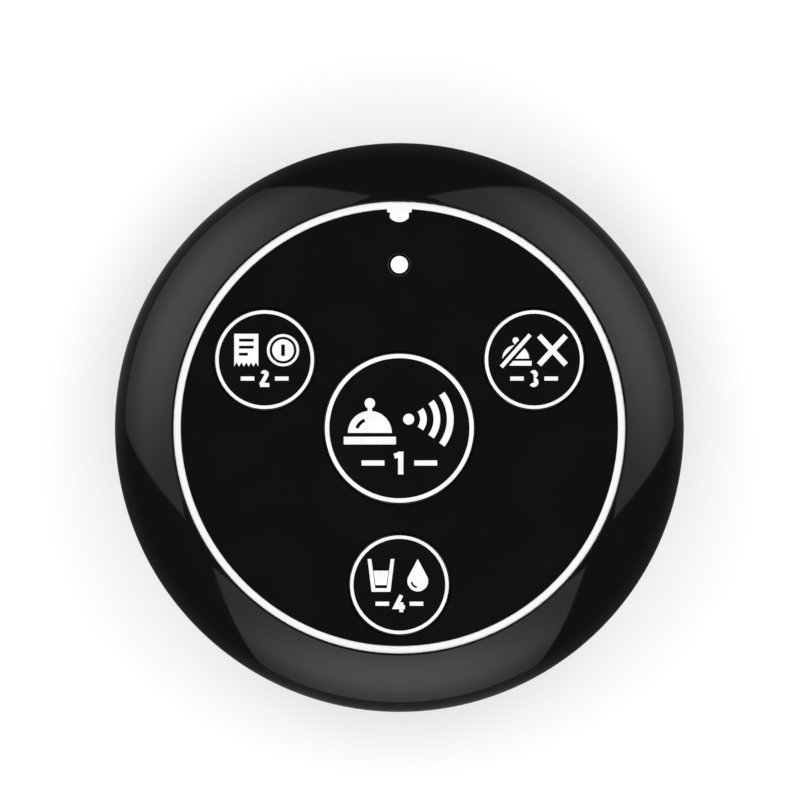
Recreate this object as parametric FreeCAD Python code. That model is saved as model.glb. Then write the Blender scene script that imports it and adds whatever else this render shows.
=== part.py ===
# Waiter call button: a round black puck with four keys in a flat face, on a twist-off battery cover.
# Millimetres, +Z up, +Y towards the indicator. The origin is the middle of the face that it stands on.
# Heights are stacked from the table up: pad, cover, battery, board, switches, keys, deck, panel.
# Radii are stacked from the middle out: call key, side key, trim ring, rim.
import FreeCAD, Part
import math
import os

from FreeCAD import Vector

# Case
wall = 2.0
base_lift = 1.2
tuck_in = 6.0
bottom_edge_radius = 0.5
parting_height = 9.0
reveal_height = 0.3
reveal_depth = 0.4
lip_height = 1.5
lip_thickness = 1.0
lip_gap = 0.15
overrun = 1.0
same_point = 0.000001

# Rim: an edge round the panel well, a crown that slopes outward, a shoulder that turns down
rim_width = 8.1
well_edge_radius = 0.1
crown_tilt = 10.75
shoulder_tilt = 40.0
side_tilt = 90.0
shoulder_radius = 4.5

# Face: trim ring with its tongue, panel, adhesive sheet, deck of the top shell
ring_gap = 0.15
ring_width = 1.05
ring_drop = 0.3
ring_edge_radius = 0.15
tongue_width = 2.65
tongue_length = 1.85
tongue_end_radius = 1.75
tongue_shoulder_width = 3.43
tongue_shoulder_depth = 0.48
panel_drop = 0.4
panel_thickness = 0.8
panel_gap = 0.05
adhesive_thickness = 0.2
adhesive_margin = 0.5
deck_thickness = 1.4

# Keys
call_key_radius = 10.7
small_key_radius = 7.17
call_key_y = -0.1
side_key_angle = 27.0
side_key_space = 3.36
side_key_margin = 2.3
water_key_margin = 1.45
key_gap = 0.15
key_travel = 0.4
key_top_thickness = 1.4
key_wall = 1.2
key_edge_radius = 0.12
key_post_radius = 2.2
key_rib_thickness = 0.8
key_rib_clear = 0.6
flange_width = 1.0
flange_thickness = 0.85
flange_clear = 0.05
key_tab_width = 2.0
key_tab_reach = 1.2
guide_clear = 0.2
guide_thickness = 1.0
guide_height = 1.6

# Key switches
switch_width = 6.0
switch_floor = 0.5
switch_cover_thickness = 0.2
switch_cover_inset = 0.1
switch_rivet_radius = 0.4
switch_rivet_height = 0.1
switch_rivet_inset = 0.9
plunger_radius = 1.75
plunger_clear = 0.1
plunger_flange_width = 0.3
plunger_flange_height = 0.4
plunger_flange_room = 0.08
plunger_lift = 0.02
press_room = 0.1
cavity_clear = 0.3
dome_clear = 0.15
dome_pressed_height = 0.3
dome_thickness = 0.1
terminal_width = 0.7
terminal_thickness = 0.15
terminal_reach = 1.1
terminal_rise = 0.8
terminal_spread = 4.5

# Indicator
indicator_margin = 7.83
lens_radius = 1.21
lens_clear = 0.06
lens_flange_radius = 2.2
lens_flange_height = 0.8
lens_guide_radius = 1.5
lens_lift = 0.4
indicator_hole_gap = 0.3
diode_length = 2.0
diode_width = 1.25
diode_base_height = 0.4
diode_window_height = 0.4
diode_window_inset = 0.35

# Circuit board and what is soldered to it
board_margin = 2.17
board_thickness = 1.2
chip_length = 8.6
chip_width = 3.9
chip_height = 1.4
chip_lift = 0.12
chip_x = -9.5
chip_offset = 1.1
lead_pitch = 1.27
leads_per_side = 7
lead_width = 0.4
lead_thickness = 0.15
lead_foot = 0.6
lead_shoulder = 0.4
resonator_radius = 2.6
resonator_height = 1.5
resonator_rim = 0.3
resonator_x = 10.2
resonator_offset = 0.7
transistor_length = 2.9
transistor_width = 1.3
transistor_height = 1.0
transistor_x = 16.8
transistor_y = -8.2
resistor_length = 2.0
resistor_width = 1.25
resistor_height = 0.5
resistor_count = 5
resistor_spacing = 3.2
capacitor_length = 1.6
capacitor_width = 0.8
capacitor_height = 0.8
capacitor_count = 3
capacitor_spacing = 2.4
capacitor_x = 13.2
capacitor_y = -4.4

# Aerial coil under the board
aerial_wire_radius = 0.3
aerial_coil_radius = 2.0
aerial_pitch = 1.35
aerial_half_turns = 15
aerial_drop = 3.0
aerial_y = 14.6
aerial_stand = 0.3
aerial_hole_radius = 0.6

# Battery, lying along X in its pocket
cell_radius = 5.15
cell_length = 28.2
cell_clear_below = 0.2
cell_clear_above = 0.1
cell_clear_side = 0.25
cell_clear_end = 0.1
sleeve_thickness = 0.1
sleeve_lip = 1.2
cap_radius = 2.1
cap_height = 1.0
pocket_wall = 1.2
pocket_roof = 0.6
roof_gap = 0.1

# Battery contacts
contact_thickness = 0.3
contact_width = 7.0
contact_height = 8.0
contact_tail_width = 1.6
contact_tail_stand = 0.6
contact_tail_clear = 0.15
spring_wire_radius = 0.3
spring_coil_radius = 3.0
spring_pitch = 1.1
spring_half_turns = 5
spring_clear = 0.05

# Battery cover with its twist hooks, and the foot pad
pad_thickness = 0.6
pad_inner_radius = 9.0
pad_edge_margin = 1.5
pad_hole_margin = 1.7
cover_thickness = 1.7
cover_gap = 0.3
cover_head_room = 0.3
cover_edge_radius = 0.3
ceiling_thickness = 1.2
recess_wall = 1.5
floor_thickness = 1.8
hook_count = 4
hook_first_angle = 45.0
hook_sweep = 10.0
hook_margin = 1.3
hook_thickness = 1.2
hook_lip_reach = 1.2
hook_lip_height = 0.9
hook_lip_clear = 0.15
slot_clear = 0.25
slot_clear_angle = 1.0
twist_angle = 20.0
coin_slot_length = 12.0
coin_slot_width = 1.8
coin_slot_depth = 0.9
mark_depth = 0.25
mark_size = 1.6
mark_angle = 270.0
mark_inset = 0.8
mount_hole_distance = 16.0
mount_hole_radius = 1.7
mount_countersink_depth = 0.9

# Screws
case_screw_angles = [60.0, 120.0, 240.0, 300.0]
case_screw_radius = 1.25
case_screw_head_radius = 2.2
case_screw_head_height = 1.3
case_screw_length = 10.0
case_boss_radius = 2.9
case_boss_gap = 0.1
case_boss_board_gap = 1.2
case_boss_recess_gap = 0.7
counterbore_depth = 2.0
board_screw_inset = 3.4
board_screw_angles = [65.0, 115.0, 225.0, 315.0]
board_screw_radius = 1.0
board_screw_head_radius = 1.9
board_screw_head_height = 1.3
board_screw_length = 4.0
board_boss_radius = 2.0
screw_hole_clear = 0.2
screw_thread_clear = 0.02
screw_point_length = 1.0
screw_head_edge_radius = 0.4
screw_recess_width = 0.4
screw_recess_depth = 0.7
screw_recess_margin = 0.6
screw_end_room = 0.5

# Radii and places across the face, from the middle out
side_key_distance = call_key_radius + side_key_space + small_key_radius
side_key_x = side_key_distance * math.cos(math.radians(side_key_angle))
side_key_y = call_key_y + side_key_distance * math.sin(math.radians(side_key_angle))
ring_inner_radius = side_key_distance + small_key_radius + side_key_margin
ring_outer_radius = ring_inner_radius + ring_width
well_radius = ring_outer_radius + ring_gap
body_radius = well_radius + rim_width
bottom_radius = body_radius - tuck_in
panel_radius = ring_inner_radius - panel_gap
water_key_y = water_key_margin + small_key_radius - ring_inner_radius
indicator_y = ring_inner_radius - indicator_margin
indicator_hole_radius = lens_radius + indicator_hole_gap

# Radii and places inside
board_radius = side_key_distance + switch_width / 2 + board_margin
board_screw_distance = board_radius - board_screw_inset
case_screw_distance = board_radius + case_boss_board_gap + case_boss_radius
recess_radius = case_screw_distance - case_boss_radius - case_boss_recess_gap - recess_wall
cover_radius = recess_radius - cover_gap
hook_inner_radius = cover_radius - hook_margin - hook_lip_reach - hook_thickness
cavity_radius = plunger_radius + plunger_flange_width + cavity_clear
dome_radius = cavity_radius - dome_clear
chip_y = -call_key_radius - chip_offset
resonator_y = -call_key_radius - resonator_offset

# A key's travel sets its snap dome's height, and so the depth and height of its switch
dome_height = dome_pressed_height + key_travel
cavity_depth = dome_height + plunger_lift + plunger_flange_height + plunger_flange_room
switch_base_height = switch_floor + cavity_depth
switch_top = switch_base_height + switch_cover_thickness + switch_rivet_height
switch_height = switch_top + press_room + key_travel

# Heights, from the table up
cover_bottom = pad_thickness
cover_top = cover_bottom + cover_thickness
ceiling_bottom = cover_top + cover_head_room
ceiling_top = ceiling_bottom + ceiling_thickness
cell_axis = cover_top + cell_clear_below + cell_radius
pocket_top = cell_axis + cell_radius + cell_clear_above
roof_top = pocket_top + pocket_roof
board_bottom = roof_top + roof_gap
board_top = board_bottom + board_thickness
key_foot = board_top + switch_height
flange_top = key_foot + flange_thickness
deck_bottom = flange_top + flange_clear
deck_top = deck_bottom + deck_thickness
panel_bottom = deck_top + adhesive_thickness
panel_top = panel_bottom + panel_thickness
body_height = panel_top + panel_drop
ring_top = body_height - ring_drop
floor_top = base_lift + floor_thickness

# Each key: its name, radius, place, and the way that its tab points
keys = [
    ("call", call_key_radius, 0, call_key_y, 90),
    ("bill", small_key_radius, -side_key_x, side_key_y, 180 - side_key_angle),
    ("cancel", small_key_radius, side_key_x, side_key_y, side_key_angle),
    ("water", small_key_radius, 0, water_key_y, 270),
]

# Battery and contacts along X
spring_coil_length = spring_pitch * spring_half_turns / 2
spring_length = spring_coil_length + 2 * spring_wire_radius + 2 * spring_clear
pocket_length = 2 * cell_clear_end + 2 * contact_thickness + spring_length + cell_length
pocket_width = 2 * (cell_radius + cell_clear_side)
negative_plate_x = cell_clear_end - pocket_length / 2
spring_start_x = negative_plate_x + contact_thickness
cell_start_x = spring_start_x + spring_length
positive_plate_x = cell_start_x + cell_length

UP = Vector(0, 0, 1)
ALONG_X = Vector(1, 0, 0)
CENTRE = Vector(0, 0, 0)


def cylinder(radius, bottom, top, x=0, y=0):
    return Part.makeCylinder(radius, top - bottom, Vector(x, y, bottom))


def tube(outer, inner, bottom, top, x=0, y=0):
    hole = cylinder(inner, bottom - overrun, top + overrun, x, y)
    return cylinder(outer, bottom, top, x, y).cut(hole)


def block(width, depth, bottom, top, x=0, y=0):
    corner = Vector(x - width / 2, y - depth / 2, bottom)
    return Part.makeBox(width, depth, top - bottom, corner)


def rod(radius, start, length, y, z):
    return Part.makeCylinder(radius, length, Vector(start, y, z), ALONG_X)


def polar(distance, angle):
    return distance * math.cos(math.radians(angle)), distance * math.sin(math.radians(angle))


def turned(shape, angle):
    copy = shape.copy()
    copy.rotate(CENTRE, UP, angle)
    return copy


def moved(shape, x, y):
    copy = shape.copy()
    copy.translate(Vector(x, y, 0))
    return copy


def joined(pieces):
    return pieces[0].fuse(pieces[1:]).removeSplitter()


def save(shape, name):
    shape.exportStep("parts/" + name + ".step")


# An outline is a list of points and arcs in order. An arc is three points, and lines join the rest.
def outline(items):
    edges = []
    first = None
    last = None
    for item in items:
        points = item if isinstance(item, tuple) else (item,)
        if last is None:
            first = points[0]
        elif (points[0] - last).Length > same_point:
            edges.append(Part.LineSegment(last, points[0]).toShape())
        if len(points) == 3:
            edges.append(Part.Arc(*points).toShape())
        last = points[-1]
    if (first - last).Length > same_point:
        edges.append(Part.LineSegment(last, first).toShape())
    return Part.Face(Part.Wire(edges))


def turned_solid(items):
    return outline(items).revolve(CENTRE, UP, 360)


def sector(inner, outer, start, sweep, bottom, top):
    section = [
        Vector(inner, 0, bottom),
        Vector(outer, 0, bottom),
        Vector(outer, 0, top),
        Vector(inner, 0, top),
    ]
    return turned(outline(section).revolve(CENTRE, UP, sweep), start)


# The side of the body is three tangent arcs: crown, shoulder and tuck. A tilt is measured from +Z.
def sine(angle):
    return math.sin(math.radians(angle))


def cosine(angle):
    return math.cos(math.radians(angle))


crown_start = well_radius + well_edge_radius * (1 + sine(crown_tilt))
crown_run = body_radius - shoulder_radius * (1 - sine(shoulder_tilt)) - crown_start
crown_radius = crown_run / (sine(shoulder_tilt) - sine(crown_tilt))
crown_top = body_height - well_edge_radius * (1 - cosine(crown_tilt))
crown_centre_z = crown_top - crown_radius * cosine(crown_tilt)
crown_centre_x = crown_start - crown_radius * sine(crown_tilt)
shoulder_centre_x = body_radius - shoulder_radius
shoulder_centre_z = crown_centre_z + (crown_radius - shoulder_radius) * cosine(shoulder_tilt)
tuck_run = body_radius - bottom_radius
tuck_drop = shoulder_centre_z - base_lift
tuck_radius = (tuck_run ** 2 + tuck_drop ** 2) / (2 * tuck_run)
tuck_centre_x = body_radius - tuck_radius
crown_centre = (crown_centre_x, crown_centre_z)
shoulder_centre = (shoulder_centre_x, shoulder_centre_z)
tuck_centre = (tuck_centre_x, shoulder_centre_z)


def on_arc(centre, radius, tilt):
    return Vector(centre[0] + radius * sine(tilt), 0, centre[1] + radius * cosine(tilt))


def arc(centre, radius, start, end):
    middle = (start + end) / 2
    return on_arc(centre, radius, start), on_arc(centre, radius, middle), on_arc(centre, radius, end)


def tilt_at(centre, radius, height):
    return math.degrees(math.acos((height - centre[1]) / radius))


def tuck_x(height, inset):
    return on_arc(tuck_centre, tuck_radius - inset, tilt_at(tuck_centre, tuck_radius - inset, height)).x


# Plan of the ring's tongue, grown by a clearance for the notches that it keys
def tongue_plan(clear, bottom, top):
    width = tongue_width + 2 * clear
    end_radius = tongue_end_radius + clear
    end_y = ring_inner_radius - tongue_length + tongue_end_radius
    middle_y = ring_inner_radius + ring_width / 2
    shaft = Part.makeBox(width, middle_y - end_y, top - bottom, Vector(-width / 2, end_y, bottom))
    end_box = Part.makeBox(width, end_radius, top - bottom, Vector(-width / 2, end_y - end_radius, bottom))
    end = cylinder(end_radius, bottom, top, 0, end_y).common(end_box)
    shoulder_width = tongue_shoulder_width + 2 * clear
    shoulder_y = ring_inner_radius - tongue_shoulder_depth - clear
    corner = Vector(-shoulder_width / 2, shoulder_y, bottom)
    shoulder = Part.makeBox(shoulder_width, middle_y - shoulder_y, top - bottom, corner)
    return joined([shaft, end, shoulder])


def trim_ring():
    edge = ring_edge_radius
    ring = turned_solid([
        Vector(ring_inner_radius, 0, deck_top),
        Vector(ring_outer_radius, 0, deck_top),
        arc((ring_outer_radius - edge, ring_top - edge), edge, side_tilt, 0),
        arc((ring_inner_radius + edge, ring_top - edge), edge, 0, -side_tilt),
    ])
    tongue = tongue_plan(0, deck_top, panel_top)
    return joined([ring, tongue])


def key_openings(margin, bottom, top):
    return [cylinder(radius + margin, bottom, top, x, y) for name, radius, x, y, angle in keys]


def face_panel():
    panel = cylinder(panel_radius, panel_bottom, panel_top)
    cuts = key_openings(key_gap, panel_bottom - overrun, panel_top + overrun)
    cuts.append(tongue_plan(panel_gap, panel_bottom - overrun, panel_top + overrun))
    cuts.append(cylinder(indicator_hole_radius, panel_bottom - overrun, panel_top + overrun, 0, indicator_y))
    return panel.cut(cuts)


def panel_adhesive():
    sheet = cylinder(panel_radius - adhesive_margin, deck_top, panel_bottom)
    cuts = key_openings(key_gap + adhesive_margin, deck_top - overrun, panel_bottom + overrun)
    cuts.append(tongue_plan(adhesive_margin, deck_top - overrun, panel_bottom + overrun))
    hole = indicator_hole_radius + adhesive_margin
    cuts.append(cylinder(hole, deck_top - overrun, panel_bottom + overrun, 0, indicator_y))
    return sheet.cut(cuts)


def key_guides(radius):
    start = radius + flange_width + guide_clear
    side = key_tab_width / 2 + guide_clear + guide_thickness / 2
    bottom = deck_bottom - guide_height
    middle = start + key_tab_reach / 2
    top = deck_bottom + deck_thickness / 2
    left = block(guide_thickness, key_tab_reach, bottom, top, -side, middle)
    right = block(guide_thickness, key_tab_reach, bottom, top, side, middle)
    return [left, right]


def top_shell():
    inner_crown = crown_radius - wall
    shell = turned_solid([
        Vector(0, 0, deck_bottom),
        Vector(0, 0, deck_top),
        Vector(well_radius, 0, deck_top),
        arc((well_radius + well_edge_radius, body_height - well_edge_radius), well_edge_radius,
            -side_tilt, crown_tilt),
        arc(crown_centre, crown_radius, crown_tilt, shoulder_tilt),
        arc(shoulder_centre, shoulder_radius, shoulder_tilt, side_tilt),
        arc(tuck_centre, tuck_radius, side_tilt, tilt_at(tuck_centre, tuck_radius, parting_height)),
        arc(tuck_centre, tuck_radius - wall,
            tilt_at(tuck_centre, tuck_radius - wall, parting_height), side_tilt),
        arc(shoulder_centre, shoulder_radius - wall, side_tilt, shoulder_tilt),
        arc(crown_centre, inner_crown, shoulder_tilt, tilt_at(crown_centre, inner_crown, deck_bottom)),
    ])
    added = []
    cuts = key_openings(key_gap, deck_bottom - overrun, deck_top + overrun)
    cuts.append(cylinder(lens_radius + lens_clear, deck_bottom - overrun, deck_top + overrun, 0, indicator_y))
    for name, radius, x, y, angle in keys:
        for guide in key_guides(radius):
            added.append(moved(turned(guide, angle - 90), x, y))
    boss_root = deck_bottom + deck_thickness / 2
    for angle in case_screw_angles:
        x, y = polar(case_screw_distance, angle)
        added.append(cylinder(case_boss_radius, parting_height + case_boss_gap, boss_root, x, y))
        pilot = case_screw_radius + screw_thread_clear
        pilot_top = case_seat() + case_screw_length + screw_end_room
        cuts.append(cylinder(pilot, parting_height - overrun, pilot_top, x, y))
    for angle in board_screw_angles:
        x, y = polar(board_screw_distance, angle)
        added.append(cylinder(board_boss_radius, board_top, boss_root, x, y))
        pilot = board_screw_radius + screw_thread_clear
        pilot_top = board_bottom + board_screw_length + screw_end_room
        cuts.append(cylinder(pilot, board_top - overrun, pilot_top, x, y))
    return joined([shell] + added).cut(cuts)


def key_cap(radius):
    under_top = panel_top - key_top_thickness
    cap = turned_solid([
        Vector(0, 0, key_foot),
        Vector(radius + flange_width, 0, key_foot),
        Vector(radius + flange_width, 0, flange_top),
        Vector(radius, 0, flange_top),
        arc((radius - key_edge_radius, panel_top - key_edge_radius), key_edge_radius, side_tilt, 0),
        Vector(0, 0, panel_top),
    ])
    hollow = cylinder(radius - key_wall, key_foot - overrun, under_top)
    post = cylinder(key_post_radius, key_foot, under_top)
    rib_length = 2 * radius - key_wall
    rib_bottom = key_foot + key_rib_clear
    rib = block(rib_length, key_rib_thickness, rib_bottom, under_top)
    tab_length = flange_width + key_tab_reach
    tab = block(key_tab_width, tab_length, key_foot, flange_top, 0, radius + tab_length / 2)
    return joined([cap.cut(hollow), post, rib, turned(rib, 90), tab])


def switch_base():
    top = board_top + switch_base_height
    body = block(switch_width, switch_width, board_top, top)
    return body.cut(cylinder(cavity_radius, top - cavity_depth, top + overrun))


def corner_places(inset):
    reach = switch_width / 2 - inset
    return [(sx * reach, sy * reach) for sx in (-1, 1) for sy in (-1, 1)]


def switch_cover():
    bottom = board_top + switch_base_height
    top = bottom + switch_cover_thickness
    width = switch_width - 2 * switch_cover_inset
    plate = block(width, width, bottom, top)
    hole = cylinder(plunger_radius + plunger_clear, bottom - overrun, top + overrun)
    rivets = [
        cylinder(switch_rivet_radius, bottom, top + switch_rivet_height, x, y)
        for x, y in corner_places(switch_rivet_inset)
    ]
    return joined([plate] + rivets).cut(hole)


def switch_plunger():
    foot = board_top + switch_base_height - cavity_depth + dome_height + plunger_lift
    flange = cylinder(plunger_radius + plunger_flange_width, foot, foot + plunger_flange_height)
    return joined([flange, cylinder(plunger_radius, foot, key_foot)])


def snap_dome():
    bottom = board_top + switch_base_height - cavity_depth
    radius = (dome_radius ** 2 + dome_height ** 2) / (2 * dome_height)
    centre = (0, bottom + dome_height - radius)
    inner = radius - dome_thickness
    return turned_solid([
        arc(centre, radius, 0, tilt_at(centre, radius, bottom)),
        arc(centre, inner, tilt_at(centre, inner, bottom), 0),
    ])


def switch_terminals():
    side = switch_width / 2
    row = terminal_spread / 2
    pins = []
    for name, radius, x, y, angle in keys:
        for sx in (-1, 1):
            for sy in (-1, 1):
                rise = block(terminal_thickness, terminal_width, board_top, board_top + terminal_rise,
                             sx * (side + terminal_thickness / 2), sy * row)
                foot = block(terminal_reach, terminal_width, board_top, board_top + terminal_thickness,
                             sx * (side + terminal_reach / 2), sy * row)
                pins.append(moved(joined([rise, foot]), x, y))
    return Part.makeCompound(pins)


def indicator_lens():
    stem = cylinder(lens_radius, deck_bottom, panel_top, 0, indicator_y)
    flange = cylinder(lens_flange_radius, deck_bottom - lens_flange_height, deck_bottom, 0, indicator_y)
    guide_bottom = board_top + diode_base_height + diode_window_height + lens_lift
    guide = cylinder(lens_guide_radius, guide_bottom, deck_bottom, 0, indicator_y)
    return joined([stem, flange, guide])


def status_led():
    base_top = board_top + diode_base_height
    base = block(diode_length, diode_width, board_top, base_top, 0, indicator_y)
    window_top = base_top + diode_window_height
    window = block(diode_length - 2 * diode_window_inset, diode_width, base_top, window_top, 0, indicator_y)
    return joined([base, window])


def encoder_chip():
    bottom = board_top + chip_lift
    return block(chip_length, chip_width, bottom, bottom + chip_height, chip_x, chip_y)


def encoder_leads():
    shoulder_z = board_top + chip_lift + chip_height / 2
    leads = []
    for side in (-1, 1):
        for index in range(leads_per_side):
            x = chip_x + (index - (leads_per_side - 1) / 2) * lead_pitch
            edge = chip_width / 2
            shoulder = block(lead_width, lead_shoulder, shoulder_z - lead_thickness, shoulder_z,
                             x, chip_y + side * (edge + lead_shoulder / 2))
            leg_y = chip_y + side * (edge + lead_shoulder - lead_thickness / 2)
            leg = block(lead_width, lead_thickness, board_top, shoulder_z, x, leg_y)
            foot_y = chip_y + side * (edge + lead_shoulder - lead_thickness + lead_foot / 2)
            foot = block(lead_width, lead_foot, board_top, board_top + lead_thickness, x, foot_y)
            leads.append(joined([shoulder, leg, foot]))
    return Part.makeCompound(leads)


def rf_resonator():
    can = cylinder(resonator_radius, board_top, board_top + resonator_height, resonator_x, resonator_y)
    flange = cylinder(resonator_radius + resonator_rim, board_top, board_top + resonator_rim,
                      resonator_x, resonator_y)
    return joined([can, flange])


def rf_transistor():
    body = block(transistor_length, transistor_width, board_top + lead_thickness,
                 board_top + transistor_height, transistor_x, transistor_y)
    step = transistor_length / 3
    reach = transistor_width / 2 + lead_foot / 2
    feet = [(-step, -reach), (step, -reach), (0, reach)]
    pieces = [body]
    for x, y in feet:
        pieces.append(block(lead_width, lead_foot + lead_thickness, board_top, board_top + 2 * lead_thickness,
                            transistor_x + x, transistor_y + y))
    return joined(pieces)


def chip_resistors():
    places = [(index - (resistor_count - 1) / 2) * resistor_spacing for index in range(resistor_count)]
    return Part.makeCompound([
        block(resistor_length, resistor_width, board_top, board_top + resistor_height, x, aerial_y)
        for x in places
    ])


def chip_capacitors():
    places = [(index - (capacitor_count - 1) / 2) * capacitor_spacing for index in range(capacitor_count)]
    return Part.makeCompound([
        block(capacitor_length, capacitor_width, board_top, board_top + capacitor_height,
              capacitor_x + x, capacitor_y)
        for x in places
    ])


# A coil is one tube on pairs of arcs, two pairs to a half turn, tangent at every joint.
def bulge(start, corner, end):
    chord_middle = (start + end) * 0.5
    half_chord = (end - start).Length / 2
    offset = corner - chord_middle
    sagitta = half_chord * math.tan(math.atan2(offset.Length, half_chord) / 2)
    return chord_middle + offset.normalize() * sagitta


def biarc(start, start_way, end, end_way):
    span = end - start
    both = start_way + end_way
    a = 2 * (start_way.dot(end_way) - 1)
    b = -2 * span.dot(both)
    c = span.dot(span)
    reach = (-b - math.sqrt(b * b - 4 * a * c)) / (2 * a)
    first_corner = start + start_way * reach
    second_corner = end - end_way * reach
    meeting = (first_corner + second_corner) * 0.5
    first = Part.Arc(start, bulge(start, first_corner, meeting), meeting).toShape()
    second = Part.Arc(meeting, bulge(meeting, second_corner, end), end).toShape()
    return [first, second]


def helix_point(start_x, y, z, radius, pitch, angle):
    return Vector(start_x + pitch * angle / (2 * math.pi), y + radius * math.cos(angle),
                  z - radius * math.sin(angle))


def helix_way(radius, pitch, angle):
    way = Vector(pitch / (2 * math.pi), -radius * math.sin(angle), -radius * math.cos(angle))
    return way.normalize()


def coil_gap(name, radius, pitch, half_turns, wire_radius):
    steps = 48
    count = half_turns * steps // 2
    points = [helix_point(0, 0, 0, radius, pitch, 2 * math.pi * i / steps) for i in range(count)]
    least = min(
        (points[i] - points[j]).Length
        for i in range(count)
        for j in range(i + steps // 2, count)
    )
    print(name, "least gap to itself", round(least - 2 * wire_radius, 3), "mm")


def coil_edges(start_x, y, z, radius, pitch, half_turns):
    edges = []
    quarter = math.pi / 2
    for index in range(2 * half_turns):
        first = index * quarter
        last = first + quarter
        edges += biarc(
            helix_point(start_x, y, z, radius, pitch, first), helix_way(radius, pitch, first),
            helix_point(start_x, y, z, radius, pitch, last), helix_way(radius, pitch, last),
        )
    return edges


def wire_tube(edges, start, way, wire_radius):
    section = Part.Wire(Part.makeCircle(wire_radius, start, way))
    return Part.Wire(edges).makePipeShell([section], True, False)


aerial_z = board_bottom - aerial_drop
aerial_leg = aerial_drop + board_thickness + aerial_stand
aerial_length = aerial_pitch * aerial_half_turns / 2


def aerial_coil():
    way = helix_way(aerial_coil_radius, aerial_pitch, 0)
    start_x = -aerial_length / 2
    first = helix_point(start_x, aerial_y, aerial_z, aerial_coil_radius, aerial_pitch, 0)
    end_angle = aerial_half_turns * math.pi
    end_way = helix_way(aerial_coil_radius, aerial_pitch, end_angle)
    last = helix_point(start_x, aerial_y, aerial_z, aerial_coil_radius, aerial_pitch, end_angle)
    leg_start = first - way * aerial_leg
    leg_end = last + end_way * aerial_leg
    edges = [Part.LineSegment(leg_start, first).toShape()]
    edges += coil_edges(start_x, aerial_y, aerial_z, aerial_coil_radius, aerial_pitch, aerial_half_turns)
    edges.append(Part.LineSegment(last, leg_end).toShape())
    coil_gap("aerial coil", aerial_coil_radius, aerial_pitch, aerial_half_turns, aerial_wire_radius)
    return wire_tube(edges, leg_start, way, aerial_wire_radius)


def circuit_board():
    board = cylinder(board_radius, board_bottom, board_top)
    low = board_bottom - overrun
    high = board_top + overrun
    cuts = []
    for angle in board_screw_angles:
        x, y = polar(board_screw_distance, angle)
        cuts.append(cylinder(board_screw_radius + screw_hole_clear, low, high, x, y))
    way = helix_way(aerial_coil_radius, aerial_pitch, 0)
    lean = -way.x / way.z * (aerial_drop + board_thickness / 2)
    for side in (-1, 1):
        x = side * (aerial_length / 2 + lean)
        cuts.append(cylinder(aerial_hole_radius, low, high, x, aerial_y - side * aerial_coil_radius))
    cuts += tail_slots(low, high)
    return board.cut(cuts)


def tail_slots(bottom, top):
    thickness = contact_thickness + 2 * contact_tail_clear
    width = contact_tail_width + 2 * contact_tail_clear
    return [
        block(thickness, width, bottom, top, plate_x + contact_thickness / 2)
        for plate_x in (negative_plate_x, positive_plate_x)
    ]


def contact_plate(plate_x):
    middle = plate_x + contact_thickness / 2
    low = cell_axis - contact_height / 2
    plate = block(contact_thickness, contact_width, low, low + contact_height, middle)
    tail = block(contact_thickness, contact_tail_width, cell_axis, board_top + contact_tail_stand, middle)
    return joined([plate, tail])


def battery_spring():
    start_x = spring_start_x + spring_clear + spring_wire_radius
    edges = coil_edges(start_x, 0, cell_axis, spring_coil_radius, spring_pitch, spring_half_turns)
    start = helix_point(start_x, 0, cell_axis, spring_coil_radius, spring_pitch, 0)
    coil_gap("battery spring", spring_coil_radius, spring_pitch, spring_half_turns, spring_wire_radius)
    return wire_tube(edges, start, helix_way(spring_coil_radius, spring_pitch, 0), spring_wire_radius)


def battery_can():
    length = cell_length - cap_height - sleeve_thickness
    can = rod(cell_radius - sleeve_thickness, cell_start_x + sleeve_thickness, length - sleeve_thickness,
              0, cell_axis)
    return can


def battery_wrap():
    length = cell_length - cap_height
    outer = rod(cell_radius, cell_start_x, length, 0, cell_axis)
    inner_radius = cell_radius - sleeve_thickness
    inner = rod(inner_radius, cell_start_x + sleeve_thickness, length - 2 * sleeve_thickness, 0, cell_axis)
    ends = rod(inner_radius - sleeve_lip, cell_start_x - overrun, length + 2 * overrun, 0, cell_axis)
    return outer.cut([inner, ends])


def battery_positive_cap():
    start = cell_start_x + cell_length - cap_height - sleeve_thickness
    return rod(cap_radius, start, cap_height + sleeve_thickness, 0, cell_axis)


def slot_cuts():
    low = ceiling_bottom - overrun
    high = ceiling_top + overrun
    inner = hook_inner_radius - slot_clear
    narrow = hook_inner_radius + hook_thickness + slot_clear
    wide = hook_inner_radius + hook_thickness + hook_lip_reach + slot_clear
    entry_sweep = hook_sweep + 2 * slot_clear_angle
    cuts = []
    for index in range(hook_count):
        start = hook_first_angle + index * 360 / hook_count - slot_clear_angle
        cuts.append(sector(inner, narrow, start, twist_angle + entry_sweep, low, high))
        cuts.append(sector(inner, wide, start + twist_angle, entry_sweep, low, high))
    return cuts


def case_seat():
    return base_lift + counterbore_depth


def is_bottom_rim(edge):
    if not isinstance(edge.Curve, Part.Circle):
        return False
    level = abs(edge.Curve.Center.z - base_lift) < same_point
    return level and abs(edge.Curve.Radius - bottom_radius) < same_point


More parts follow.
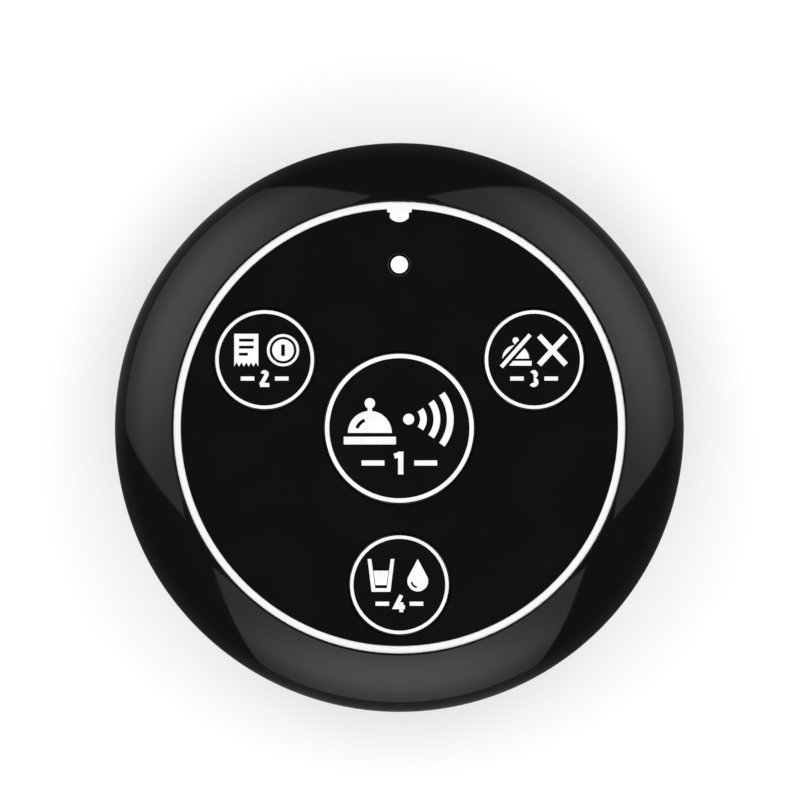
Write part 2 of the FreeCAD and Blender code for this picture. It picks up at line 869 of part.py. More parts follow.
def base_shell():
    reveal_z = parting_height - reveal_height
    reveal_x = tuck_x(reveal_z, reveal_depth)
    lip_outer = tuck_x(parting_height, wall) - lip_gap
    lip_inner = lip_outer - lip_thickness
    step_radius = recess_radius + recess_wall
    outer_start = tilt_at(tuck_centre, tuck_radius, base_lift)
    outer_end = tilt_at(tuck_centre, tuck_radius, reveal_z)
    inner_radius = tuck_radius - wall - lip_gap - lip_thickness
    shell = turned_solid([
        Vector(0, 0, ceiling_bottom),
        Vector(recess_radius, 0, ceiling_bottom),
        Vector(recess_radius, 0, base_lift),
        arc(tuck_centre, tuck_radius, outer_start, outer_end),
        Vector(reveal_x, 0, reveal_z),
        Vector(reveal_x, 0, parting_height),
        Vector(lip_outer, 0, parting_height),
        Vector(lip_outer, 0, parting_height + lip_height),
        Vector(lip_inner, 0, parting_height + lip_height),
        arc(tuck_centre, inner_radius, tilt_at(tuck_centre, inner_radius, parting_height),
            tilt_at(tuck_centre, inner_radius, floor_top)),
        Vector(step_radius, 0, floor_top),
        Vector(step_radius, 0, ceiling_top),
        Vector(0, 0, ceiling_top),
    ])
    shell = shell.makeFillet(bottom_edge_radius, [edge for edge in shell.Edges if is_bottom_rim(edge)])
    added = [block(pocket_length + 2 * pocket_wall, pocket_width + 2 * pocket_wall,
                   ceiling_bottom + ceiling_thickness / 2, roof_top)]
    cuts = [block(pocket_length, pocket_width, ceiling_bottom - overrun, pocket_top)]
    cuts += slot_cuts()
    cuts += tail_slots(pocket_top - overrun, roof_top + overrun)
    for angle in case_screw_angles:
        x, y = polar(case_screw_distance, angle)
        added.append(cylinder(case_boss_radius, base_lift + floor_thickness / 2, parting_height, x, y))
        clear_hole = case_screw_radius + screw_hole_clear
        cuts.append(cylinder(clear_hole, base_lift - overrun, parting_height + overrun, x, y))
        counterbore = case_screw_head_radius + screw_hole_clear
        cuts.append(cylinder(counterbore, base_lift - overrun, case_seat(), x, y))
    mark_distance = recess_radius + mark_inset + mark_size / 2
    for turn in (0, twist_angle):
        x, y = polar(mark_distance, mark_angle + turn)
        cuts.append(cylinder(mark_size / 2, base_lift - overrun, base_lift + mark_depth, x, y))
    return joined([shell] + added).cut(cuts)


def battery_cover():
    edge = cover_edge_radius
    plate = turned_solid([
        Vector(0, 0, cover_bottom),
        arc((cover_radius - edge, cover_bottom + edge), edge, 2 * side_tilt, side_tilt),
        Vector(cover_radius, 0, cover_top),
        Vector(0, 0, cover_top),
    ])
    added = []
    lip_bottom = ceiling_top + hook_lip_clear
    lip_top = lip_bottom + hook_lip_height
    stem_outer = hook_inner_radius + hook_thickness
    for index in range(hook_count):
        start = hook_first_angle + index * 360 / hook_count
        stem_bottom = cover_top - cover_thickness / 2
        added.append(sector(hook_inner_radius, stem_outer, start, hook_sweep, stem_bottom, lip_top))
        added.append(sector(hook_inner_radius, stem_outer + hook_lip_reach, start, hook_sweep,
                            lip_bottom, lip_top))
    cuts = [block(coin_slot_length, coin_slot_width, cover_bottom - overrun, cover_bottom + coin_slot_depth)]
    for side in (-1, 1):
        y = side * mount_hole_distance
        cuts.append(cylinder(mount_hole_radius, cover_bottom - overrun, cover_top + overrun, 0, y))
        cone_radius = mount_hole_radius + mount_countersink_depth
        cone_bottom = cover_top - mount_countersink_depth
        cuts.append(Part.makeCone(mount_hole_radius, cone_radius, mount_countersink_depth,
                                  Vector(0, y, cone_bottom)))
    cuts.append(cover_mark())
    return joined([plate] + added).cut(cuts)


def cover_mark():
    tip = cover_radius - mark_inset / 2
    low = cover_bottom - overrun
    corners = [
        Vector(tip, 0, low),
        Vector(tip - mark_size / 2, mark_size / 2, low),
        Vector(tip - mark_size / 2, -mark_size / 2, low),
    ]
    return turned(outline(corners).extrude(UP * (overrun + mark_depth)), mark_angle)


def foot_pad():
    pad = tube(cover_radius - pad_edge_margin, pad_inner_radius, 0, pad_thickness)
    holes = [
        cylinder(mount_hole_radius + pad_hole_margin, -overrun, pad_thickness + overrun,
                 0, side * mount_hole_distance)
        for side in (-1, 1)
    ]
    return pad.cut(holes)


# A pan-head screw that points up, with its head's seat at the given height
def screw(radius, head_radius, head_height, length, seat):
    edge = screw_head_edge_radius
    bottom = seat - head_height
    body = turned_solid([
        Vector(0, 0, bottom),
        arc((head_radius - edge, bottom + edge), edge, 2 * side_tilt, side_tilt),
        Vector(head_radius, 0, seat),
        Vector(radius, 0, seat),
        Vector(radius, 0, seat + length - screw_point_length),
        Vector(0, 0, seat + length),
    ])
    reach = 2 * (head_radius - screw_recess_margin)
    arm = block(reach, screw_recess_width, bottom - overrun, bottom + screw_recess_depth)
    return body.cut([arm, turned(arm, 90)])


def screw_group(one, distance, angles):
    return Part.makeCompound([turned(moved(one, distance, 0), angle) for angle in angles])


os.makedirs("parts", exist_ok=True)

save(top_shell(), "top_shell")
save(base_shell(), "base_shell")
save(trim_ring(), "trim_ring")
save(face_panel(), "face_panel")
save(panel_adhesive(), "panel_adhesive")
save(indicator_lens(), "indicator_lens")
save(circuit_board(), "circuit_board")
save(status_led(), "status_led")
save(encoder_chip(), "encoder_chip")
save(encoder_leads(), "encoder_leads")
save(rf_resonator(), "rf_resonator")
save(rf_transistor(), "rf_transistor")
save(aerial_coil(), "aerial_coil")
save(chip_resistors(), "chip_resistors")
save(chip_capacitors(), "chip_capacitors")
save(switch_terminals(), "switch_terminals")
for name, radius, x, y, angle in keys:
    save(moved(turned(key_cap(radius), angle - 90), x, y), name + "_key")
    save(moved(switch_base(), x, y), name + "_switch_base")
    save(moved(switch_cover(), x, y), name + "_switch_cover")
    save(moved(switch_plunger(), x, y), name + "_switch_plunger")
    save(moved(snap_dome(), x, y), name + "_snap_dome")
save(battery_can(), "battery_can")
save(battery_wrap(), "battery_wrap")
save(battery_positive_cap(), "battery_positive_cap")
save(contact_plate(negative_plate_x), "negative_contact")
save(contact_plate(positive_plate_x), "positive_contact")
save(battery_spring(), "battery_spring")
save(battery_cover(), "battery_cover")
save(foot_pad(), "foot_pad")
case_screw = screw(case_screw_radius, case_screw_head_radius, case_screw_head_height,
                   case_screw_length, case_seat())
save(screw_group(case_screw, case_screw_distance, case_screw_angles), "case_screws")
board_screw = screw(board_screw_radius, board_screw_head_radius, board_screw_head_height,
                    board_screw_length, board_bottom)
save(screw_group(board_screw, board_screw_distance, board_screw_angles), "board_screws")
print("body height", round(body_height, 3), "mm")
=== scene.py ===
import math

import bmesh
import bpy
from mathutils import Matrix, Vector
from mathutils.geometry import delaunay_2d_cdt, intersect_point_line


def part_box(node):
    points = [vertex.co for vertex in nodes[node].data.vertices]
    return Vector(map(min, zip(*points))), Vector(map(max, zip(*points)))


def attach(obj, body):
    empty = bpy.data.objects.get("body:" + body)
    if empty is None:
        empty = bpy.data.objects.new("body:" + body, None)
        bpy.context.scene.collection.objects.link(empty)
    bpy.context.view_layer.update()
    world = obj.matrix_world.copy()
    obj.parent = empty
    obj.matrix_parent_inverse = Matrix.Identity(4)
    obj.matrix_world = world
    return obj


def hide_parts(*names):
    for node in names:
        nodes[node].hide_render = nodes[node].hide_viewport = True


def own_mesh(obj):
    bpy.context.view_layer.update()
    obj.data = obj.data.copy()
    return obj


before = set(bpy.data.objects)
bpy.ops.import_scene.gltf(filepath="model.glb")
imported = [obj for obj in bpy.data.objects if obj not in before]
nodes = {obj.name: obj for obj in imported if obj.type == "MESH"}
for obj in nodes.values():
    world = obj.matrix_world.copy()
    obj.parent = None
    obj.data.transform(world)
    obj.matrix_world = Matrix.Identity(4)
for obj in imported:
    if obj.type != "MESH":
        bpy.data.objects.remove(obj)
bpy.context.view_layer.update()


# Foot pad
# A ring die-cut from black silicone sheet, glued under the battery cover so that the button grips.
# The sheet has a fine stipple, and pale table dust settles in it.
pad_tone = (0.012, 0.012, 0.0125, 1.0)
pad_dust_tone = (0.045, 0.043, 0.040, 1.0)
pad_stipple_size = 0.00045
pad_stipple_depth = 0.00003
pad_roughness = (0.72, 0.92)
pad_smudge_share = 0.5


def add_node(tree, kind, sockets=None, **settings):
    node = tree.nodes.new(kind)
    for name, value in settings.items():
        setattr(node, name, value)
    for name, value in (sockets or {}).items():
        if isinstance(value, bpy.types.NodeSocket):
            tree.links.new(value, node.inputs[name])
        else:
            node.inputs[name].default_value = value
    return node


def calc(tree, operation, *values):
    return add_node(tree, "ShaderNodeMath", dict(enumerate(values)), operation=operation).outputs[0]


def spread(tree, value, low, high, to_low=0.0, to_high=1.0):
    sockets = {"Value": value, "From Min": low, "From Max": high, "To Min": to_low, "To Max": to_high}
    return add_node(tree, "ShaderNodeMapRange", sockets, interpolation_type="SMOOTHSTEP").outputs["Result"]


def between(tree, share, at_none, at_full):
    return spread(tree, share, 0.0, 1.0, at_none, at_full)


def times(tree, first, second):
    return calc(tree, "MULTIPLY", first, second)


def times_plus(tree, first, second, more):
    return calc(tree, "MULTIPLY_ADD", first, second, more)


def less(tree, first, second):
    return calc(tree, "SUBTRACT", first, second)


def larger(tree, first, second):
    return calc(tree, "MAXIMUM", first, second)


def unsigned(tree, value):
    return calc(tree, "ABSOLUTE", value)


def object_place(tree):
    return tree.nodes.new("ShaderNodeTexCoord").outputs["Object"]


def axes_of(tree, vector):
    return add_node(tree, "ShaderNodeSeparateXYZ", {"Vector": vector}).outputs


def mixed(tree, mask, first, second):
    return add_node(tree, "ShaderNodeMix", {0: mask, 6: first, 7: second}, data_type="RGBA").outputs[2]


def noise(tree, place, size, detail=2.0, roughness=0.5):
    scale = calc(tree, "DIVIDE", 1.0, size) if isinstance(size, bpy.types.NodeSocket) else 1.0 / size
    sockets = {"Vector": place, "Scale": scale, "Detail": detail, "Roughness": roughness}
    return add_node(tree, "ShaderNodeTexNoise", sockets).outputs["Fac"]


# Soft patches from 0 to 1
def clouded(tree, place, size, low=0.38, high=0.66, detail=4.0, roughness=0.5):
    return spread(tree, noise(tree, place, size, detail, roughness), low, high)


def bumped(tree, height, depth):
    return add_node(tree, "ShaderNodeBump", {"Height": height, "Distance": depth}).outputs["Normal"]


def new_effect(name, inputs, outputs):
    effect = bpy.data.node_groups.new(name, "ShaderNodeTree")
    make_socket = effect.interface.new_socket
    for label, value in inputs.items():
        make_socket(label, in_out="INPUT", socket_type="NodeSocketFloat").default_value = value
    for label in outputs:
        make_socket(label, in_out="OUTPUT", socket_type="NodeSocketFloat")
    given = effect.nodes.new("NodeGroupInput").outputs
    result = effect.nodes.new("NodeGroupOutput").inputs
    place = object_place(effect)
    return effect, given, result, place


def use_effect(tree, effect, **values):
    sockets = {label.replace("_", " "): value for label, value in values.items()}
    return add_node(tree, "ShaderNodeGroup", sockets, node_tree=effect).outputs


def new_finish(name, **plain):
    finish = bpy.data.materials.new(name)
    finish.use_nodes = True
    shader = finish.node_tree.nodes["Principled BSDF"]
    for label, value in plain.items():
        shader.inputs[label.replace("_", " ")].default_value = value
    return finish, finish.node_tree, shader


def feed(tree, shader, **sockets):
    for label, value in sockets.items():
        tree.links.new(value, shader.inputs[label.replace("_", " ")])


def dress(finish, *names):
    for name in names:
        nodes[name].material_slots[0].material = finish


# Grain of a mould's eroded face, as a height, and patches where it is polished
def moulded_grain_effect():
    polish_patch_size = 0.007
    cell_share = 0.7
    effect, given, result, place = new_effect("moulded_grain", {"Size": 0.0002}, ["Height", "Patches"])
    scale = calc(effect, "DIVIDE", 1.0, given["Size"])
    cells = add_node(effect, "ShaderNodeTexVoronoi", {"Vector": place, "Scale": scale, "Smoothness": 0.6},
                     feature="SMOOTH_F1").outputs["Distance"]
    grit = noise(effect, place, given["Size"], 3.0, 0.6)
    effect.links.new(times_plus(effect, cells, cell_share, grit), result["Height"])
    effect.links.new(clouded(effect, place, polish_patch_size), result["Patches"])
    return effect


# What handling leaves on a surface: skin smudges, hair scratches and specks of dust
def handling_effect():
    smudge_size = 0.011
    scratch_sets = ((0.6, (25.0, 900.0, 500.0)), (-0.9, (30.0, 1300.0, 500.0)))
    scratch_level = 0.62
    scratch_half_width = 0.006
    scratched_patch_size = 0.006
    dust_cells_per_metre = 420.0
    dust_core = 0.015
    dust_edge = 0.045
    empty_cells = 0.7
    effect, given, result, place = new_effect("handling", {}, ["Smudges", "Scratches", "Dust"])
    smudges = clouded(effect, place, smudge_size, 0.44, 0.70, 5.0, 0.62)
    effect.links.new(smudges, result["Smudges"])
    lines = []
    for turn, stretch in scratch_sets:
        slant = add_node(effect, "ShaderNodeMapping", {"Vector": place, "Rotation": (0.0, 0.0, turn)})
        drawn = add_node(effect, "ShaderNodeMapping", {"Vector": slant.outputs[0], "Scale": stretch})
        level = noise(effect, drawn.outputs[0], 1.0, 1.0)
        off_line = unsigned(effect, less(effect, level, scratch_level))
        lines.append(spread(effect, off_line, 0.0, scratch_half_width, 1.0, 0.0))
    both = larger(effect, lines[0], lines[1])
    where = clouded(effect, place, scratched_patch_size, 0.5, 0.62, 2.0)
    effect.links.new(times(effect, both, where), result["Scratches"])
    specks = add_node(effect, "ShaderNodeTexVoronoi", {"Vector": place, "Scale": dust_cells_per_metre})
    near = spread(effect, specks.outputs["Distance"], dust_core, dust_edge, 1.0, 0.0)
    chosen = add_node(effect, "ShaderNodeSeparateColor", {"Color": specks.outputs["Color"]}).outputs[0]
    kept = calc(effect, "GREATER_THAN", chosen, empty_cells)
    effect.links.new(times(effect, near, kept), result["Dust"])
    return effect


moulded_grain = moulded_grain_effect()
handling = handling_effect()

pad_rubber, tree, shader = new_finish("foot_rubber", Specular_IOR_Level=0.3)
grain = use_effect(tree, moulded_grain, Size=pad_stipple_size)
marks = use_effect(tree, handling)
dusty = larger(tree, times(tree, marks["Smudges"], pad_smudge_share), marks["Dust"])
feed(tree, shader,
     Base_Color=mixed(tree, dusty, pad_tone, pad_dust_tone),
     Roughness=between(tree, grain["Patches"], *pad_roughness),
     Normal=bumped(tree, grain["Height"], pad_stipple_depth))
dress(pad_rubber, "foot_pad")


# Battery cover and base shell
# The two black ABS mouldings that the button stands on. The cover's hooks turn into the base's slots.
# Their outer faces have a fine eroded texture, and the edges that fingers and coins rub are smoother.
base_tone = (0.0085, 0.0085, 0.0088, 1.0)
base_worn_tone = (0.022, 0.022, 0.022, 1.0)
base_grain_size = 0.00013
base_grain_depth = 0.000006
base_roughness = (0.40, 0.50)
rubbed_shine = 0.12
base_scratch_share = 0.6
seam_rub_width = 0.0006
cover_rub_width = 0.0005
parting_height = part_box("top_shell")[0].z
cover_low, cover_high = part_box("battery_cover")
base_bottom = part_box("base_shell")[0].z


# A band along a round edge about +Z, broken up so that it isn't even. It marks rubbed wear on the case
# and keys, a painted highlight round the light pipe's hole and painted shade on the trim ring's outer edge.
def round_edge_effect():
    break_size = 0.0012
    least_band_share = 0.35
    places = {"Centre X": 0.0, "Centre Y": 0.0, "Radius": 0.03, "Height": 0.0, "Width": 0.0004}
    effect, given, result, place = new_effect("round_edge", places, ["Mask"])
    along = axes_of(effect, place)
    x = less(effect, along["X"], given["Centre X"])
    y = less(effect, along["Y"], given["Centre Y"])
    across = calc(effect, "SQRT", calc(effect, "ADD", times(effect, x, x), times(effect, y, y)))
    out = less(effect, across, given["Radius"])
    up = less(effect, along["Z"], given["Height"])
    away = calc(effect, "SQRT", calc(effect, "ADD", times(effect, out, out), times(effect, up, up)))
    band = between(effect, calc(effect, "DIVIDE", away, given["Width"]), 1.0, 0.0)
    broken = spread(effect, noise(effect, place, break_size, 4.0, 0.6), 0.35, 0.6, least_band_share, 1.0)
    effect.links.new(times(effect, band, broken), result["Mask"])
    return effect


round_edge = round_edge_effect()

satin_black, tree, shader = new_finish("satin_black_base")
grain = use_effect(tree, moulded_grain, Size=base_grain_size)
marks = use_effect(tree, handling)
seam = use_effect(tree, round_edge, Radius=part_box("base_shell")[1].x, Height=parting_height,
                  Width=seam_rub_width)
rim = use_effect(tree, round_edge, Radius=cover_high.x, Height=cover_low.z, Width=cover_rub_width)
rubbed = larger(tree, seam["Mask"], rim["Mask"])
edges_and_scratches = larger(tree, rubbed, times(tree, marks["Scratches"], base_scratch_share))
even = between(tree, grain["Patches"], *base_roughness)
feed(tree, shader,
     Base_Color=mixed(tree, edges_and_scratches, base_tone, base_worn_tone),
     Roughness=times_plus(tree, rubbed, -rubbed_shine, even),
     Normal=bumped(tree, grain["Height"], base_grain_depth))
dress(satin_black, "battery_cover", "base_shell")


# Signs moulded on the underside
# Raised signs, part of the base's moulding: a closed and an open padlock at the cover's two positions,
# an arrow between them, and the battery's plus and minus beside its pocket, seen with the cover off.
sign_rise = 0.00012
sign_stroke = 0.0004
sign_root = 0.00001
lock_place = 0.0302
lock_size = 0.00115
turn_arrow_radius = 0.0285
turn_arrow_start = 4.5
turn_arrow_stop = 5.5
turn_arrow_head = 2.2
turn_arrow_half_width = 0.0006
twist_range = 20.0
locked_angle = 270.0
polarity_place = 0.0188
polarity_size = 0.0012
polarity_stroke = 0.5
cover_plate = 0.0017
cover_room = 0.0003
round_steps = 96


def arc_points(centre, radius, start, end, steps):
    turns = [math.radians(start + (end - start) * i / steps) for i in range(steps + 1)]
    return [Vector((centre[0] + radius * math.cos(t), centre[1] + radius * math.sin(t))) for t in turns]


def disc(centre, radius):
    return arc_points(centre, radius, 0, 360, round_steps)[:-1]


def area(*points):
    return [Vector(point) for point in points]


# A line of even width through points, with mitred corners and square ends, as one outline
def stroke(points, width):
    line = [Vector(point) for point in points]
    left = []
    right = []
    for i, point in enumerate(line):
        ways = []
        if i > 0:
            ways.append((point - line[i - 1]).normalized())
        if i < len(line) - 1:
            ways.append((line[i + 1] - point).normalized())
        way = sum(ways, Vector((0, 0))).normalized()
        side = Vector((-way.y, way.x))
        reach = width / 2 / max(0.3, side.dot(Vector((-ways[0].y, ways[0].x))))
        left.append(point + side * reach)
        right.append(point - side * reach)
    return left + right[::-1]


def placed(shapes, x, y, size, turn=0.0, flip=1.0):
    spin = Matrix.Rotation(math.radians(turn), 2)
    shift = Vector((x, y))
    moved = []
    for inked, outline in shapes:
        sized = [Vector((point.x * size * flip, point.y * size)) for point in outline]
        moved.append((inked, [spin @ point + shift for point in sized]))
    return moved


def linked_object(name, data):
    thing = bpy.data.objects.new(name, data)
    bpy.context.scene.collection.objects.link(thing)
    return thing


# Joins flat outlines into one raised layer. A later outline adds to the layer or cuts it.
def raised_layer(name, shapes, low, high):
    corners = []
    loops = []
    for inked, outline in shapes:
        twice_area = sum(a.cross(b) for a, b in zip(outline, outline[1:] + outline[:1]))
        loops.append(list(range(len(corners), len(corners) + len(outline))))
        corners += outline if twice_area > 0 else outline[::-1]
    inside_only = 1
    same_point = 1e-9
    points, edges, triangles, old_points, old_edges, owners = delaunay_2d_cdt(
        corners, [], loops, inside_only, same_point, True)
    kept = [tri for tri, owner in zip(triangles, owners) if owner and shapes[max(owner)][0]]
    used = sorted({i for tri in kept for i in tri})
    index = {old: new for new, old in enumerate(used)}
    count = len(used)
    verts = [(points[i].x, points[i].y, level) for level in (high, low) for i in used]
    faces = []
    sides = set()
    for tri in kept:
        top = [index[i] for i in tri]
        area_sign = (points[tri[1]] - points[tri[0]]).cross(points[tri[2]] - points[tri[0]])
        if area_sign < 0:
            top.reverse()
        faces.append(top)
        faces.append([i + count for i in reversed(top)])
        sides.update(zip(top, top[1:] + top[:1]))
    for start, end in sides:
        if (end, start) not in sides:
            faces.append([end, start, start + count, end + count])
    mesh = bpy.data.meshes.new(name)
    mesh.from_pydata(verts, [], faces)
    mesh.validate()
    return linked_object(name, mesh)


def finished(piece, finish, body):
    piece.data.materials.append(finish)
    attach(piece, body)
    return piece


# A padlock about two units high, its bow shut or sprung open
def padlock(opened):
    lift = 0.35 if opened else 0.0
    shackle = arc_points((0, 0.25 + lift), 0.42, 0, 180, 24)
    left_foot = 0.1 + lift if opened else 0.0
    bow = [Vector((0.42, 0))] + shackle + [Vector((-0.42, left_foot))]
    body = area((-0.75, -1.0), (0.75, -1.0), (0.75, 0.1), (-0.75, 0.1))
    return [(True, stroke(bow, 0.24)), (True, body), (False, disc((0, -0.38), 0.17)),
            (False, stroke([(0, -0.4), (0, -0.75)], 0.16))]


underside_signs = []
for angle, opened in ((locked_angle, False), (locked_angle + twist_range, True)):
    way = Vector((math.cos(math.radians(angle)), math.sin(math.radians(angle)))) * lock_place
    underside_signs += placed(padlock(opened), way.x, way.y, lock_size, angle + 90, -1.0)
arrow_start = locked_angle + turn_arrow_start
arrow_end = locked_angle + twist_range - turn_arrow_stop
arrow_line = arc_points((0, 0), turn_arrow_radius, arrow_start, arrow_end, 16)
underside_signs.append((True, stroke(arrow_line, sign_stroke)))
tip = arc_points((0, 0), turn_arrow_radius, arrow_end, arrow_end + turn_arrow_head, 1)[1]
wings = []
for side in (-1, 1):
    wing_radius = turn_arrow_radius + side * turn_arrow_half_width
    wings.append(arc_points((0, 0), wing_radius, arrow_end, arrow_end + 1, 1)[0])
underside_signs.append((True, [wings[0], wings[1], tip]))
finished(raised_layer("underside_signs", underside_signs, base_bottom - sign_rise, base_bottom + sign_root),
         satin_black, "case")

minus = [(True, stroke([(-1, 0), (1, 0)], polarity_stroke))]
plus = minus + [(True, stroke([(0, -1), (0, 1)], polarity_stroke))]
polarity_signs = placed(plus, polarity_place, 0, polarity_size)
polarity_signs += placed(minus, -polarity_place, 0, polarity_size)
ceiling = cover_low.z + cover_plate + cover_room
finished(raised_layer("polarity_signs", polarity_signs, ceiling - sign_rise, ceiling + sign_root),
         satin_black, "case")


# Battery
# A 23A cell, lying in the pocket between two contact plates and a coil spring. The can is nickel-plated
# steel in a shrunk film sleeve, dark blue with a pale band at the positive end, and bare of any name.
sleeve_tone = (0.012, 0.030, 0.110, 1.0)
sleeve_band_tone = (0.50, 0.49, 0.46, 1.0)
sleeve_shade_tone = (0.008, 0.020, 0.075, 1.0)
band_start = 0.0084
band_end = 0.0128
band_blur = 0.00005
sleeve_roughness = (0.26, 0.40)
sleeve_shade_size = 0.004
sleeve_ripple_size = 0.0011
sleeve_ripple_depth = 0.00001
can_tone = (0.62, 0.60, 0.56, 1.0)
can_dull_tone = (0.40, 0.38, 0.34, 1.0)


# Fine lines left by rolling and drawing, as a height, and clouds where the plating is duller
def rolled_metal_effect():
    line_stretch = (0.04, 1.0, 1.0)
    dull_patch_size = 0.0016
    outputs = ["Height", "Dullness"]
    effect, given, result, place = new_effect("rolled_metal", {"Line Size": 0.00006}, outputs)
    drawn = add_node(effect, "ShaderNodeMapping", {"Vector": place, "Scale": line_stretch}).outputs[0]
    effect.links.new(noise(effect, drawn, given["Line Size"], 3.0, 0.7), result["Height"])
    dull = clouded(effect, place, dull_patch_size, 0.42, 0.68, 5.0, 0.6)
    effect.links.new(dull, result["Dullness"])
    return effect


rolled_metal = rolled_metal_effect()


def plated_finish(name, tone, dull_tone, line_size, line_depth, smooth, rough):
    finish, tree, shader = new_finish(name, Metallic=1.0)
    rolled = use_effect(tree, rolled_metal, Line_Size=line_size)
    marks = use_effect(tree, handling)
    dull = larger(tree, rolled["Dullness"], marks["Scratches"])
    feed(tree, shader,
         Base_Color=mixed(tree, dull, tone, dull_tone),
         Roughness=between(tree, dull, smooth, rough),
         Normal=bumped(tree, rolled["Height"], line_depth))
    return finish


cell_steel = plated_finish("cell_steel", can_tone, can_dull_tone,
                           line_size=0.00005, line_depth=0.0000015, smooth=0.20, rough=0.38)
dress(cell_steel, "battery_can", "battery_positive_cap")

sleeve_film, tree, shader = new_finish("cell_sleeve", Coat_Weight=0.35, Coat_Roughness=0.12)
place = object_place(tree)
along = axes_of(tree, place)["X"]
into_band = spread(tree, along, band_start - band_blur, band_start + band_blur)
out_of_band = spread(tree, along, band_end - band_blur, band_end + band_blur, 1.0, 0.0)
shade = clouded(tree, place, sleeve_shade_size, 0.4, 0.65)
film_tone = mixed(tree, shade, sleeve_tone, sleeve_shade_tone)
feed(tree, shader,
     Base_Color=mixed(tree, times(tree, into_band, out_of_band), film_tone, sleeve_band_tone),
     Roughness=between(tree, shade, *sleeve_roughness),
     Normal=bumped(tree, noise(tree, place, sleeve_ripple_size, 3.0), sleeve_ripple_depth))
dress(sleeve_film, "battery_wrap")


# Battery contacts
# Two plates and a coil spring of nickel-plated spring steel. The plates' tails pass up through slots in
# the pocket's roof and in the circuit board, where they are soldered.
contact_tone = (0.66, 0.63, 0.57, 1.0)
contact_dull_tone = (0.45, 0.42, 0.37, 1.0)
contact_steel = plated_finish("contact_steel", contact_tone, contact_dull_tone,
                              line_size=0.00007, line_depth=0.000002, smooth=0.18, rough=0.36)
dress(contact_steel, "negative_contact", "positive_contact", "battery_spring")


# Circuit board
# A disc of glass-fibre board under green solder mask. Its cut edge is bare, straw-coloured board.
# The copper tracks show as raised lines under the mask, and the white legend is printed on it.
mask_tone = (0.010, 0.105, 0.040, 1.0)
mask_deep_tone = (0.006, 0.070, 0.028, 1.0)
raw_board_tone = (0.36, 0.30, 0.16, 1.0)
track_tone = (0.022, 0.175, 0.062, 1.0)
track_deep_tone = (0.014, 0.135, 0.048, 1.0)
legend_tone = (0.78, 0.78, 0.75, 1.0)
legend_faint_tone = (0.60, 0.61, 0.57, 1.0)
weave_size = 0.00045
weave_depth = 0.000004
edge_roughness = 0.7
mask_roughness = 0.22
cloud_haze = 0.3
mask_cloud_size = 0.004
track_width = 0.0003
track_rise = 0.000035
legend_width = 0.00015
legend_rise = 0.000055
chip_frame_room = 0.0006
chip_frame_inset = 0.0002
pin_dot_radius = 0.00022
pin_dot_gap = 0.0007
pin_dot_lift = 0.0003
board_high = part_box("circuit_board")[1]


def lacquer_finish(name, tone, deep_tone, smooth, rough, depth):
    cloud_size = 0.003
    ripple_size = 0.0002
    finish, tree, shader = new_finish(name)
    place = object_place(tree)
    cloud = clouded(tree, place, cloud_size)
    feed(tree, shader,
         Base_Color=mixed(tree, cloud, tone, deep_tone),
         Roughness=between(tree, cloud, smooth, rough),
         Normal=bumped(tree, noise(tree, place, ripple_size, 3.0), depth))
    return finish


board_finish, tree, shader = new_finish("green_board")
place = object_place(tree)
facing = axes_of(tree, tree.nodes.new("ShaderNodeNewGeometry").outputs["Normal"])
flat = calc(tree, "GREATER_THAN", unsigned(tree, facing["Z"]), 0.5)
cloud = clouded(tree, place, mask_cloud_size)
steps = axes_of(tree, place)
threads = []
for axis in ("X", "Y"):
    threads.append(calc(tree, "SINE", times(tree, steps[axis], 2 * math.pi / weave_size)))
shine = less(tree, flat, times(tree, cloud, cloud_haze))
feed(tree, shader,
     Base_Color=mixed(tree, flat, raw_board_tone, mixed(tree, cloud, mask_tone, mask_deep_tone)),
     Roughness=between(tree, shine, edge_roughness, mask_roughness),
     Normal=bumped(tree, times(tree, threads[0], threads[1]), weave_depth))
dress(board_finish, "circuit_board")


# The lowest and highest corners of each separate solid in a node
def solids_in(name):
    mesh = nodes[name].data
    root = {}

    def find(key):
        while root[key] != key:
            key = root[key]
        return key

    keys = [tuple(round(c, 7) for c in v.co) for v in mesh.vertices]
    for key in keys:
        root.setdefault(key, key)
    for face in mesh.polygons:
        first = find(keys[face.vertices[0]])
        for i in face.vertices:
            root[find(keys[i])] = first
    found = {}
    for key in root:
        found.setdefault(find(key), []).append(key)
    boxes = []
    for group in found.values():
        boxes.append((Vector([min(p[i] for p in group) for i in range(3)]),
                      Vector([max(p[i] for p in group) for i in range(3)])))
    return sorted(boxes, key=lambda box: (round(box[0].x, 5), round(box[0].y, 5)))


keys = ["call", "bill", "cancel", "water"]
terminal_boxes = solids_in("switch_terminals")
chip_low, chip_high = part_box("encoder_chip")
chip_middle = (chip_low + chip_high) / 2
track_lead_out = 0.0012
switch_outline = 0.0068
legend_figure_height = 0.0016
legend_figure_offset = 0.0046
legend_figure_weight = 0.16


def middle_of(name):
    low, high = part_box(name)
    return (low + high) / 2


def frame_outline(x, y, width, depth, line):
    half_w = width / 2
    half_d = depth / 2
    shapes = []
    for inked, grow in ((True, line / 2), (False, -line / 2)):
        w = half_w + grow
        d = half_d + grow
        shapes.append((inked, area((x - w, y - d), (x + w, y - d), (x + w, y + d), (x - w, y + d))))
    return shapes


# A track leaves its start along Y, runs at 45 degrees and ends straight
def track(start, end, way):
    out = Vector((start.x, start.y + way * track_lead_out))
    gap = end - out
    slant = min(abs(gap.x), abs(gap.y))
    turn = out + Vector((math.copysign(slant, gap.x), math.copysign(slant, gap.y)))
    points = [start, out, turn, end]
    line = [points[0]]
    for point in points[1:]:
        if (point - line[-1]).length > track_width:
            line.append(point)
    return (True, stroke(line, track_width))


